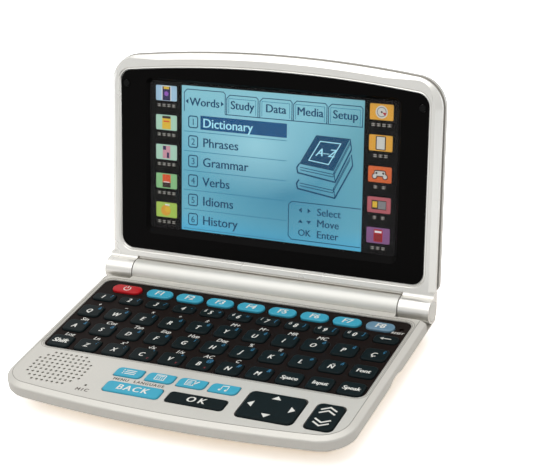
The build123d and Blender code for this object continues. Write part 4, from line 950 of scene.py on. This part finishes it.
class DICTIONARY_OT_case_lines(bpy.types.Operator):
    """Draws the fine grooves round the key panel and along the crease of the deck, as grey beads
    whose grey is painted shade
    """

    bl_idname = "dictionary.case_lines"
    bl_label = "Case lines"

    bead, sunk = 0.1, 0.05  # a line's radius, and how far its middle lies under the deck, mm
    corner = 3.7  # radius of the panel's corners

    def execute(self, context):
        panel, size = middle("keypad_panel"), span("keypad_panel")
        tree = bead_line_tree()
        for name, out, drop in (("panel_line_inner", -0.9, 0.2), ("panel_line_outer", 0.5, 0.0)):
            values = {"Width": size.x + out, "Depth": size.y + out, "Corner": self.corner + out / 2,
                      "Bead Radius": self.bead}
            spot = (panel.x * MM, panel.y * MM, (DECK_TOP - drop - self.sunk) * MM)
            grown(name, tree, values, "groove_grey", Matrix.Translation(spot), "base")
        values = {"Bead Radius": self.bead}
        # the crease gets a grey bead of painted shade too
        grown("deck_crease", followed_edge_tree(), values, "groove_grey", BASE, "base",
              seed=self.crease())
        return {"FINISHED"}

    def crease(self):
        """The outer edge of the deck's flat, as a wire, read from the case's own solid. It runs
        where the flat meets a face that slopes down, and not round holes or panels."""
        bm = bmesh.new()
        bm.from_mesh(frame["nodes"]["base_upper_case"].data)
        bmesh.ops.scale(bm, vec=(1000, 1000, 1000), verts=bm.verts)
        bmesh.ops.remove_doubles(bm, verts=bm.verts, dist=1e-3)
        flat = {
            face for face in bm.faces
            if face.normal.z > 0.99 and face.calc_center_median().z > DECK_TOP - 0.05
        }
        wire = bmesh.new()
        made = {}
        for edge in bm.edges:
            other = [face for face in edge.link_faces if face not in flat]
            if len(edge.link_faces) - len(other) != 1 or not other:
                continue
            if not 0.2 <= other[0].normal.z <= 0.97:
                continue
            ends = []
            for vertex in edge.verts:
                x, y = vertex.co.xy
                key = (round(x, 2), round(y, 2))
                if key not in made:
                    made[key] = wire.verts.new((x, y, DECK_TOP - self.sunk))
                ends.append(made[key])
            if ends[0] != ends[1] and not wire.edges.get(ends):
                wire.edges.new(ends)
        bm.free()
        return mesh_of("crease", wire)


class DICTIONARY_OT_hinge_shroud(bpy.types.Operator):
    """Closes the slot between the lid and the barrel with a curved shroud on the lid"""

    bl_idname = "dictionary.hinge_shroud"
    bl_label = "Hinge shroud"

    inner, outer = 4.6, 5.5  # radii about the hinge, mm
    start, sweep, steps = 15.5, 46.0, 18  # degrees behind the lid's plane
    end_gap = 0.3

    def execute(self, context):
        half = span("hinge_barrel").x / 2 - self.end_gap
        angles = [radians(self.start + self.sweep * i / self.steps) for i in range(self.steps + 1)]
        section = [(-self.outer * sin(angle), self.outer * cos(angle)) for angle in angles]
        section += [(-self.inner * sin(angle), self.inner * cos(angle)) for angle in angles[::-1]]
        bm = bmesh.new()
        rows = [[bm.verts.new((x, v, n)) for n, v in section] for x in (-half, half)]
        skin(bm, *rows)
        for row in rows:
            for i in range(self.steps):
                bm.faces.new((row[i], row[i + 1], row[-2 - i], row[-1 - i]))
        bmesh.ops.recalc_face_normals(bm, faces=bm.faces)
        piece("hinge_shroud", bm, "silver_lid", "lid")
        return {"FINISHED"}


class DICTIONARY_OT_bezel_lip(bpy.types.Operator):
    """Lays the frame's bowed lip round the bezel"""

    bl_idname = "dictionary.bezel_lip"
    bl_label = "Bezel lip"

    side, bottom, top = 0.5, 0.4, 0.5  # the lip's width at the middle of each edge, mm
    corner, inner_corner = 5.0, 4.5
    bow = 470.0  # radius of its upper edge
    corner_steps, top_steps = 12, 24
    crisp = radians(30)  # edges sharper than this stay crisp

    def execute(self, context):
        to_lid = LID.inverted()
        bezel = frame["nodes"]["bezel"].data
        rim = [(to_lid @ vertex.co) / MM for vertex in bezel.vertices]
        half = max(spot.x for spot in rim)
        near, far = min(spot.y for spot in rim), max(spot.y for spot in rim)
        face = max(spot.z for spot in rim)
        bm = bmesh.new()
        rings = []
        for outer, inner in self.stations(half, near, far):
            width = (inner - outer).length
            along = (inner - outer) / width
            ring = []
            for reach, height in self.section(width):
                spot = outer + along * reach
                ring.append(bm.verts.new((spot.x, spot.y, face + height)))
            rings.append(ring)
        for ring, following in zip(rings, rings[1:] + rings[:1]):
            skin(bm, ring, following)
        bmesh.ops.recalc_face_normals(bm, faces=bm.faces)
        lip = piece("bezel_lip", bm, "pearl_frame", "lid")
        lip.data.shade_smooth()
        lip.data.set_sharp_from_angle(angle=self.crisp)
        return {"FINISHED"}

    def section(self, width):
        """The lip's section: flush with the frame, then a fine groove, a crest and a slope down to
        the bezel. Each point has its reach from the bezel's outline and its height over it."""
        foot, lap, flush = -0.05, 0.79, 0.815
        return (
            (0.0, foot), (0.0, 0.21), (-0.58, lap), (-0.72, lap), (-0.7, flush),
            (width - 1.05, flush), (width - 0.82, 0.6), (width - 0.72, 0.6), (width - 0.5, 0.78),
            (width - 0.36, 0.76), (width - 0.06, 0.3), (width, 0.2), (width, foot),
        )

    def stations(self, half, near, far):
        """Pairs of points all the way round, on the bezel's outline and the lip's inner edge."""
        x = half - self.side - self.inner_corner
        pairs = []
        for quarter, (across, up) in enumerate(((1, -1), (1, 1), (-1, 1), (-1, -1))):
            drop = self.top + x * x / (2 * self.bow) if up > 0 else self.bottom
            v = far - drop - self.inner_corner if up > 0 else near + drop + self.inner_corner
            centre = Vector((across * x, v))
            for step in range(self.corner_steps + 1):
                angle = radians(90 * (quarter - 1 + step / self.corner_steps))
                ray = Vector((cos(angle), sin(angle)))
                reach = self.reach(abs(ray.x), abs(ray.y), half - x, drop + self.inner_corner)
                pairs.append((centre + ray * reach, centre + ray * self.inner_corner))
            if quarter == 1:
                for step in range(1, self.top_steps):
                    at = x * (1 - 2 * step / self.top_steps)
                    edge = far - self.top - at * at / (2 * self.bow)
                    pairs.append((Vector((at, far)), Vector((at, edge))))
        return pairs

    def reach(self, c, s, to_side, to_end):
        """How far a ray goes from the inner corner's centre to the bezel's rounded outline."""
        out_x, out_v = to_side - self.corner, to_end - self.corner
        reach = min(to_side / max(c, 1e-6), to_end / max(s, 1e-6))
        if reach * c > out_x and reach * s > out_v:
            half_way = c * out_x + s * out_v
            reach = half_way + sqrt(half_way**2 - out_x**2 - out_v**2 + self.corner**2)
        return reach


class DICTIONARY_OT_port_details(bpy.types.Operator):
    """Adds the contacts in the USB socket and the ring of the earphone socket"""

    bl_idname = "dictionary.port_details"
    bl_label = "Port details"

    contact_depth = 5.0  # how far behind the socket's mouth the contacts' middles lie, mm

    def execute(self, context):
        mouth = middle("usb_socket")
        mouth.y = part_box("usb_socket")[1].y / MM - self.contact_depth
        values = {"Count": 5, "Pitch": 0.8, "Length": 3.6, "Rib Radius": 0.13}
        place = Matrix.Translation(mouth * MM) @ Matrix.Rotation(pi / 2, 4, "Z")
        grown("usb_contacts", rib_row_tree(), values, "contact_brass", place, "base")
        jack = middle("earphone_jack")
        jack.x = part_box("earphone_jack")[1].x / MM
        values = {"Width": 4.4, "Depth": 4.4, "Corner": 2.19, "Bead Radius": 0.22}
        place = Matrix.Translation(jack * MM) @ Matrix.Rotation(pi / 2, 4, "Y")
        grown("jack_ring", bead_line_tree(), values, "plated_steel", place, "base")
        return {"FINISHED"}


SCREEN_SHADES = {"upper": "#8cc4cd", "centre": "#66abbe", "glow": "#48aad0"}
# painted light on the screen: each patch's middle, reach and colour
SCREEN_PAINTED_LIGHT_POOLS = (
    # painted shade, darker over the lower middle
    ((0.594, 0.326), (0.625, 0.526), "#3a7f99"),
    # painted highlight, a bright soft patch above the middle
    ((0.42, 0.64), (0.42, 0.36), "#9cd0da"),
    # painted shade along the right edge
    ((1.02, 0.7), (0.3, 0.6), "#5f98a2"),
)


class DICTIONARY_OT_screen(bpy.types.Operator):
    """Lights the screen and draws its page of tabs, rows, books and hints"""

    bl_idname = "dictionary.screen"
    bl_label = "Screen"

    def execute(self, context):
        made = finishes()
        made["lit_screen"] = lit_glass(
            "back-lit liquid crystal", painted_light_pools=SCREEN_PAINTED_LIGHT_POOLS, **SCREEN_SHADES
        )
        for slot, tone, code in (
            ("screen_ink", "dark", "#14405f"), ("screen_line", "half-dark", "#2f6f8d"),
            ("screen_bar", "blue", "#174a74"), ("screen_pale", "clear", "#93cad8"),
        ):
            made[slot] = crystal_ink(tone + " liquid crystal", code)
        self.image()
        self.ink, self.line, self.bar, self.pale = (
            # on the page, places are given from its upper left corner and downwards
            Plates(LCD_FACE + low, LCD_FACE + high, SCREEN_LEFT, SCREEN_FAR, up=-1)
            for low, high in ((0.04, 0.08), (0.04, 0.075), (0.04, 0.09), (0.07, 0.12))
        )
        self.tabs()
        self.rows()
        self.books()
        self.hints()
        piece("screen_words", self.ink, "screen_ink", "lid")
        piece("screen_lines", self.line, "screen_line", "lid")
        piece("screen_bar", self.bar, "screen_bar", "lid")
        piece("screen_light_words", self.pale, "screen_pale", "lid")
        return {"FINISHED"}

    def image(self):
        """The lit face, with a map that runs from 0 to 1 across it and up it."""
        width, height = SCREEN_RIGHT - SCREEN_LEFT, SCREEN_FAR - SCREEN_NEAR
        image = Plates(LCD_FACE + 0.02, LCD_FACE + 0.05, SCREEN_LEFT, SCREEN_NEAR)
        image.polygon((0, 0), (width, 0), (width, height), (0, height))
        uv = image.bm.loops.layers.uv.new("UVMap")
        for face in image.bm.faces:
            for loop in face.loops:
                x, v = loop.vert.co.xy
                loop[uv].uv = ((x - SCREEN_LEFT) / width, (v - SCREEN_NEAR) / height)
        piece("screen_image", image, "lit_screen", "lid")

    def tabs(self):
        """Five tabs. The first stands in front, between two arrows, and the line ends at it."""
        foot, words = 9.2, 5.6
        for word, left, right, top in (
            ("Words", 1.0, 17.3, 1.3), ("Study", 17.9, 30.1, 2.2), ("Data", 30.8, 43.1, 2.2),
            ("Media", 43.7, 56.2, 2.2), ("Setup", 56.8, 69.4, 2.2),
        ):
            self.ink.stroke(0.3, (left, foot), (left, top + 1.2), (left + 1.2, top),
                            (right - 0.7, top), (right, top + 0.7), (right, foot))
            self.ink.text(word, (left + right) / 2, words, 2.85, weight=0.1)
            if word != "Words":
                a, b, low, high = left + 0.8, right - 0.9, 8.6, top + 1.2
                self.line.stroke(0.2, (a, low), (a, high), (b, high), (b, low))
        self.ink.stroke(0.3, (17.3, foot), (69.6, foot))
        for side in (-1, 1):
            x = 9.15 + side * 7.0
            tip, back = x + side * 0.6, x - side * 0.5
            self.ink.polygon((tip, words), (back, words - 0.9), (back, words + 0.9))

    def rows(self):
        """Numbered rows, the first of them chosen."""
        first, pitch = 12.9, 7.1
        self.bar.bar(24.4, first, 33.8, 5.0)
        words = "Dictionary", "Phrases", "Grammar", "Verbs", "Idioms", "History"
        for i, word in enumerate(words):
            down = first + pitch * i
            self.ink.frame(4.6, down, 3.6, 4.1, 0.4, cut=0.5)
            self.ink.text(str(i + 1), 4.6, down, 2.3)
            target = self.pale if i == 0 else self.ink
            target.text(word, 8.4, down, 3.2, align="LEFT", weight=0.08)
            self.line.stroke(0.22, (0.9, down + 3.5), (41.3, down + 3.5))

    def books(self):
        """Two stacked books, seen from above and to one side."""
        ink, pale = self.ink, self.pale
        ink.polygon((52.4, 13.4), (65.0, 13.6), (59.2, 25.3), (46.2, 24.0))
        for drop, far in ((0.0, 0.0), (5.6, 0.6)):
            ink.stroke(0.55, (46.2, 24.0 + drop), (45.3, 25.4 + drop), (45.7, 27.2 + drop),
                       (59.8, 29.2 + drop), (65.6 + far, 17.2 + drop))
            for leaf in (drop + 0.9, drop + 1.8):
                ink.stroke(0.28, (46.6, 24.3 + leaf), (59.0, 25.6 + leaf), (65.2, 13.4 + leaf))
            ink.stroke(0.3, (59.3, 25.5 + drop), (59.8, 28.9 + drop))
        ink.stroke(0.4, (65.0, 13.6), (65.6, 17.2))
        ink.stroke(0.4, (65.6, 19.0), (66.2, 22.8))
        pale.stroke(0.34, (54.0, 15.4), (61.6, 15.6), (57.2, 23.2), (49.8, 22.4), closed=True)
        pale.text("A–Z", 55.8, 19.2, 2.7, lean=0.45, weight=0.09)

    def hints(self):
        """The box of hints, open at the right."""
        left, right, top, bottom, cut = 42.4, 69.7, 37.6, 51.2, 1.2
        x, choose, move, enter = 48.6, 40.4, 44.4, 48.4
        ink = self.ink
        ink.stroke(0.3, (right, top), (left + cut, top), (left, top + cut), (left, bottom - cut),
                   (left + cut, bottom), (right, bottom))
        for down, word in ((choose, "Select"), (move, "Move"), (enter, "Enter")):
            ink.text(word, 53.2, down, 2.6, align="LEFT", weight=0.07)
        ink.text("OK", x, enter, 2.3, weight=0.07)
        for side in (-1, 1):
            tip, back = x + side * 2.3, x + side * 1.1
            ink.polygon((tip, choose), (back, choose - 0.9), (back, choose + 0.9))
            at, tip, back = x + side * 1.6, move + side * 0.7, move - side * 0.5
            ink.polygon((at, tip), (at - 0.95, back), (at + 0.95, back))


ICON_COLOURS = {
    "sky": "#a9cfe8", "white": "#eef2f2", "navy": "#2b2552", "yellow": "#e9c23a",
    "purple": "#9a5cc2", "mint": "#b2dcc6", "brown": "#382823", "pink": "#d39aa8",
    "green": "#8fca8c", "orange": "#e4582a", "lime": "#b3d65c", "amber": "#e6aa3a",
    "silver": "#d2d4ce", "rust": "#df6a32", "rose": "#c0646c", "mauve": "#8d5d90",
    "red": "#b3212a", "grey": "#85878a",
}
# an icon's side, ground and blocks of caption, then its prints: colour, level and a shape of Plates
# with its places from the icon's middle and its sizes
ICONS = (
    (-1, "sky", 4, (  # a tall book
        ("white", 1, "bar", 0, 0, 3.9, 5.3), ("navy", 2, "bar", 0, -0.1, 3.2, 5.0),
        ("yellow", 3, "bar", 0, 1.9, 2.2, 0.9), ("purple", 3, "disc", 0, -0.2, 0.85, 16),
    )),
    (-1, "mint", 4, (  # a yellow book
        ("yellow", 1, "bar", 0, -0.2, 3.5, 4.4), ("brown", 2, "bar", 0, 1.9, 3.3, 0.9),
        ("orange", 2, "bar", 0, 0.4, 2.4, 0.5),
    )),
    (-1, "mint", 4, (  # a pink book
        ("pink", 1, "bar", 0, 0, 3.1, 4.6), ("navy", 2, "bar", -0.8, 1.5, 1.2, 1.4),
        ("navy", 2, "bar", 0.6, -1.1, 0.9, 2.0),
    )),
    (-1, "green", 4, (  # an orange book
        ("orange", 1, "bar", 0, 0.9, 3.3, 3.0), ("brown", 1, "bar", 0, -1.5, 3.3, 1.8),
        ("white", 2, "bar", 0, -0.4, 2.4, 0.3),
    )),
    (-1, "lime", 4, (  # fruit
        ("amber", 1, "disc", -0.3, -0.2, 2.0, 24), ("yellow", 2, "disc", 0.5, 0.2, 1.1, 20),
        ("white", 2, "bar", 0.3, 1.9, 1.8, 0.5),
    )),
    (1, "amber", 4, (  # a record
        ("silver", 1, "disc", 0, 0, 2.2, 28), ("grey", 2, "arc", 0, 0, 1.6, 0.3, 0, 359, 28),
        ("red", 2, "polygon", (0.2, -0.1), (1.3, -1.3), (1.8, -0.2)),
        ("brown", 3, "disc", 0, 0, 0.35, 12),
    )),
    (1, "amber", 3, (  # a page
        ("brown", 1, "bar", 0, 0, 3.7, 4.8, 0.4), ("silver", 2, "bar", 0, 0, 2.9, 4.2),
    )),
    (1, "rust", 2, (  # a gamepad
        ("brown", 1, "bar", 0, 0.35, 4.4, 2.3, 0.8), ("brown", 1, "disc", -1.9, -0.7, 1.05, 16),
        ("silver", 2, "disc", -1.9, -0.7, 0.7, 16), ("brown", 3, "disc", -1.25, 0.45, 0.4, 12),
        ("brown", 1, "disc", 1.9, -0.7, 1.05, 16), ("silver", 2, "disc", 1.9, -0.7, 0.7, 16),
        ("brown", 3, "disc", 1.25, 0.45, 0.4, 12), ("silver", 2, "bar", 0, 0.35, 3.8, 1.6, 0.5),
    )),
    (1, "rose", 2, (  # a name card
        ("brown", 1, "bar", 0, 0, 5.4, 3.2), ("grey", 2, "bar", 1.1, 0, 2.8, 2.7),
        ("yellow", 2, "bar", -1.5, 0.1, 1.7, 2.1),
    )),
    (1, "mauve", 3, (  # a calculator
        ("red", 1, "bar", 0, 0, 3.3, 4.4, 0.4), ("white", 2, "bar", 0, 1.3, 2.5, 0.7),
        *(
            ("brown", 2, "bar", x, v, 0.45, 0.4)
            for x in (-0.8, 0.0, 0.8) for v in (0.1, -0.7, -1.5)
        ),
    )),
)
ICON_ROWS = (65.9, 55.3, 44.5, 33.9, 23.2)
ICON_REACH = 41.2  # the icons' middles, to each side of the lid's middle, mm


class DICTIONARY_OT_icons(bpy.types.Operator):
    """Prints the ten touch icons and their captions on the back of the lens"""

    bl_idname = "dictionary.icons"
    bl_label = "Touch icons"

    def execute(self, context):
        for name, code in ICON_COLOURS.items():
            finishes()["icon_" + name] = pad_ink("icon " + name + " print", code, 0.5)
        layers = {}
        captions = Plates(CARD_FACE - 0.02, CARD_FACE + 0.04)
        for v, (side, ground, blocks, prints) in zip(ICON_ROWS * 2, ICONS):
            x = side * ICON_REACH
            for name, level, shape, *sizes in ((ground, 0, "bar", 0, 0, 8.5, 5.5, 0.45), *prints):
                low, high = CARD_FACE - 0.03 + level * 0.01, CARD_FACE + 0.02 + level * 0.02
                plates = layers.setdefault((name, level), Plates(low, high))
                plates.x, plates.y = x, v
                getattr(plates, shape)(*sizes)
            captions.x, captions.y = x, v
            pitch = 1.95 if blocks > 2 else 3.0
            for k in range(blocks):
                spot = (k - (blocks - 1) / 2) * pitch
                for down, width, height in ((4.1, 1.3, 0.26), (4.75, 1.3, 0.26), (4.42, 0.26, 1.0)):
                    captions.bar(spot, -down, width, height)
        for (name, level), plates in layers.items():
            piece("icon_%s_%d" % (name, level), plates, "icon_" + name, "lid")
        piece("icon_captions", captions, "grey_ink", "lid")
        return {"FINISHED"}


# a lamp's name, its place and side in metres, and its watts
LAMPS = (
    ("key_softbox", (-0.3, -0.3, 0.93), 1.1, 4.6),
    ("top_softbox", (0.15, 0.24, 0.96), 1.0, 3.4),
)
LAMP_TARGET = (0, 0, 0.03)
WORLD_LIGHT = 0.4  # strength of the white surroundings as a light
FLOOR_SIDE = 6.0  # metres
FLOOR_LIT = "#a2a6ab"  # the paper as it throws light back
PAINTED_SHADOW_REACH = 420.0  # mm, the reach of the painted shadow, where the floor glows less
PAINTED_SHADOW_TONE = (0.32, 0.2, 0.08, 1)  # linear, the painted shadow's dim warm glow next to the object

CAMERA_PLACE = (0.2352, -0.4092, 0.2949)
CAMERA_BACK = (0.41435, -0.78033, 0.46839)  # the way back from what it looks at
CAMERA_TURN, CAMERA_ROLL = 27.968, -6.774  # degrees
SENSOR_WIDTH, FOCAL_LENGTH = 36.0, 108.026  # mm
LENS_SHIFT = (-0.00067, -0.00254)


class DICTIONARY_OT_stage(bpy.types.Operator):
    """Sets up the pale floor, the soft studio light, the white surroundings and the camera"""

    bl_idname = "dictionary.stage"
    bl_label = "Stage"

    def execute(self, context):
        scene = context.scene
        scene.view_settings.view_transform = "Standard"
        self.world(scene)
        self.floor()
        for lamp in LAMPS:
            self.lamp(*lamp)
        self.camera(scene)
        return {"FINISHED"}

    def seen_directly(self, tree):
        """1 where a surface is looked at, or seen in a reflection or through glass."""
        path = add(tree, "ShaderNodeLightPath")
        total = path.outputs["Is Camera Ray"]
        for other in ("Is Glossy Ray", "Is Transmission Ray"):
            total = maths(tree, "ADD", total, path.outputs[other], use_clamp=True)
        return total

    def world(self, scene):
        """White to the eye, and dimmer as a light."""
        scene.world = bpy.data.worlds.new("studio")
        tree = cleared(scene.world)
        strength = between(tree, self.seen_directly(tree), WORLD_LIGHT, 1.0)
        sky = add(tree, "ShaderNodeBackground", "#ffffff", strength)
        add(tree, "ShaderNodeOutputWorld", sky.outputs[0])

    def floor(self):
        """Pale paper, which throws less light back on the object than it shows. It glows, and near
        the object the glow is dimmer and warmer, a painted shadow; the camera sees it a stop
        brighter."""
        material = bpy.data.materials.new("paper_sweep")
        tree = cleared(material)
        fibres = pattern(tree, "Noise", 3.0, Detail=3.0)["Fac"]
        paper = mixed(tree, fibres, "#e3eaf2", "#e9eff6")
        seen = self.seen_directly(tree)
        shown = mixed(tree, seen, FLOOR_LIT, paper)
        camera_ray = add(tree, "ShaderNodeLightPath").outputs["Is Camera Ray"]
        exposure = between(tree, camera_ray, 1.0, 2.0)
        exposed = add(tree, "ShaderNodeVectorMath", shown, Scale=exposure, operation="SCALE")
        matt = add(tree, "ShaderNodeBsdfDiffuse", exposed.outputs[0])
        # painted shadow: the floor's glow fades to a dim warm tone near the object
        near = painted_light_spot(tree, on_object(tree, PAINTED_SHADOW_REACH))
        tone = mixed(tree, near, (1, 1, 1, 1), PAINTED_SHADOW_TONE)
        glow = add(tree, "ShaderNodeEmission", tone, seen)
        both = add(tree, "ShaderNodeAddShader", matt.outputs[0], glow.outputs[0])
        add(tree, "ShaderNodeOutputMaterial", both.outputs[0])
        bm = bmesh.new()
        bmesh.ops.create_grid(bm, x_segments=8, y_segments=8, size=FLOOR_SIDE / 2)
        mesh = mesh_of("floor", bm)
        mesh.materials.append(material)
        obj = linked("floor", mesh)

    def lamp(self, name, place, size, watts):
        """A square softbox that faces the object."""
        light = bpy.data.lights.new(name, "AREA")
        light.shape = "SQUARE"
        light.size = size
        light.energy = watts
        obj = linked(name, light)
        obj.location = place
        aim = Vector(LAMP_TARGET) - Vector(place)
        obj.rotation_euler = aim.to_track_quat("-Z", "Y").to_euler()

    def camera(self, scene):
        data = bpy.data.cameras.new("camera")
        data.sensor_width, data.lens = SENSOR_WIDTH, FOCAL_LENGTH
        data.shift_x, data.shift_y = LENS_SHIFT
        data.clip_start = 0.01
        data.clip_end = 20.0
        turn, roll = radians(CAMERA_TURN), radians(CAMERA_ROLL)
        back = Vector(CAMERA_BACK).normalized()
        right = Vector((cos(turn), sin(turn), 0))
        up = back.cross(right)
        across = cos(roll) * right + sin(roll) * up
        upright = cos(roll) * up - sin(roll) * right
        facing = Matrix((across, upright, back)).transposed().to_4x4()
        scene.camera = linked("camera", data)
        scene.camera.matrix_world = Matrix.Translation(CAMERA_PLACE) @ facing


class DICTIONARY_PT_panel(bpy.types.Panel):
    """The dictionary's pieces, in the order in which they are made"""

    bl_idname = "DICTIONARY_PT_panel"
    bl_label = "Electronic Dictionary"
    bl_space_type = "VIEW_3D"
    bl_region_type = "UI"
    bl_category = "Dictionary"

    def draw(self, context):
        layout = self.layout
        for settings in (context.scene.dictionary_colours, context.scene.dictionary_sizes):
            box = layout.box()
            for name in settings.__annotations__:
                box.prop(settings, name)
        for piece_class in PIECES:
            layout.operator(piece_class.bl_idname)


PIECES = (
    DICTIONARY_OT_finishes,
    DICTIONARY_OT_key_letters,
    DICTIONARY_OT_second_marks,
    DICTIONARY_OT_panel_legends,
    DICTIONARY_OT_deck_marks,
    DICTIONARY_OT_pill_marks,
    DICTIONARY_OT_command_marks,
    DICTIONARY_OT_grille,
    DICTIONARY_OT_case_lines,
    DICTIONARY_OT_hinge_shroud,
    DICTIONARY_OT_bezel_lip,
    DICTIONARY_OT_port_details,
    DICTIONARY_OT_screen,
    DICTIONARY_OT_icons,
    DICTIONARY_OT_stage,
)
CLASSES = (DictionaryColours, DictionarySizes) + PIECES + (DICTIONARY_PT_panel,)


def register():
    for item in CLASSES:
        bpy.utils.register_class(item)
    bpy.types.Scene.dictionary_colours = bpy.props.PointerProperty(type=DictionaryColours)
    bpy.types.Scene.dictionary_sizes = bpy.props.PointerProperty(type=DictionarySizes)


def unregister():
    del bpy.types.Scene.dictionary_sizes
    del bpy.types.Scene.dictionary_colours
    for item in reversed(CLASSES):
        bpy.utils.unregister_class(item)


def main():
    """Makes every piece in order."""
    register()
    for item in PIECES:
        group, name = item.bl_idname.split(".")
        getattr(getattr(bpy.ops, group), name)()


if __name__ == "__main__":
    main()
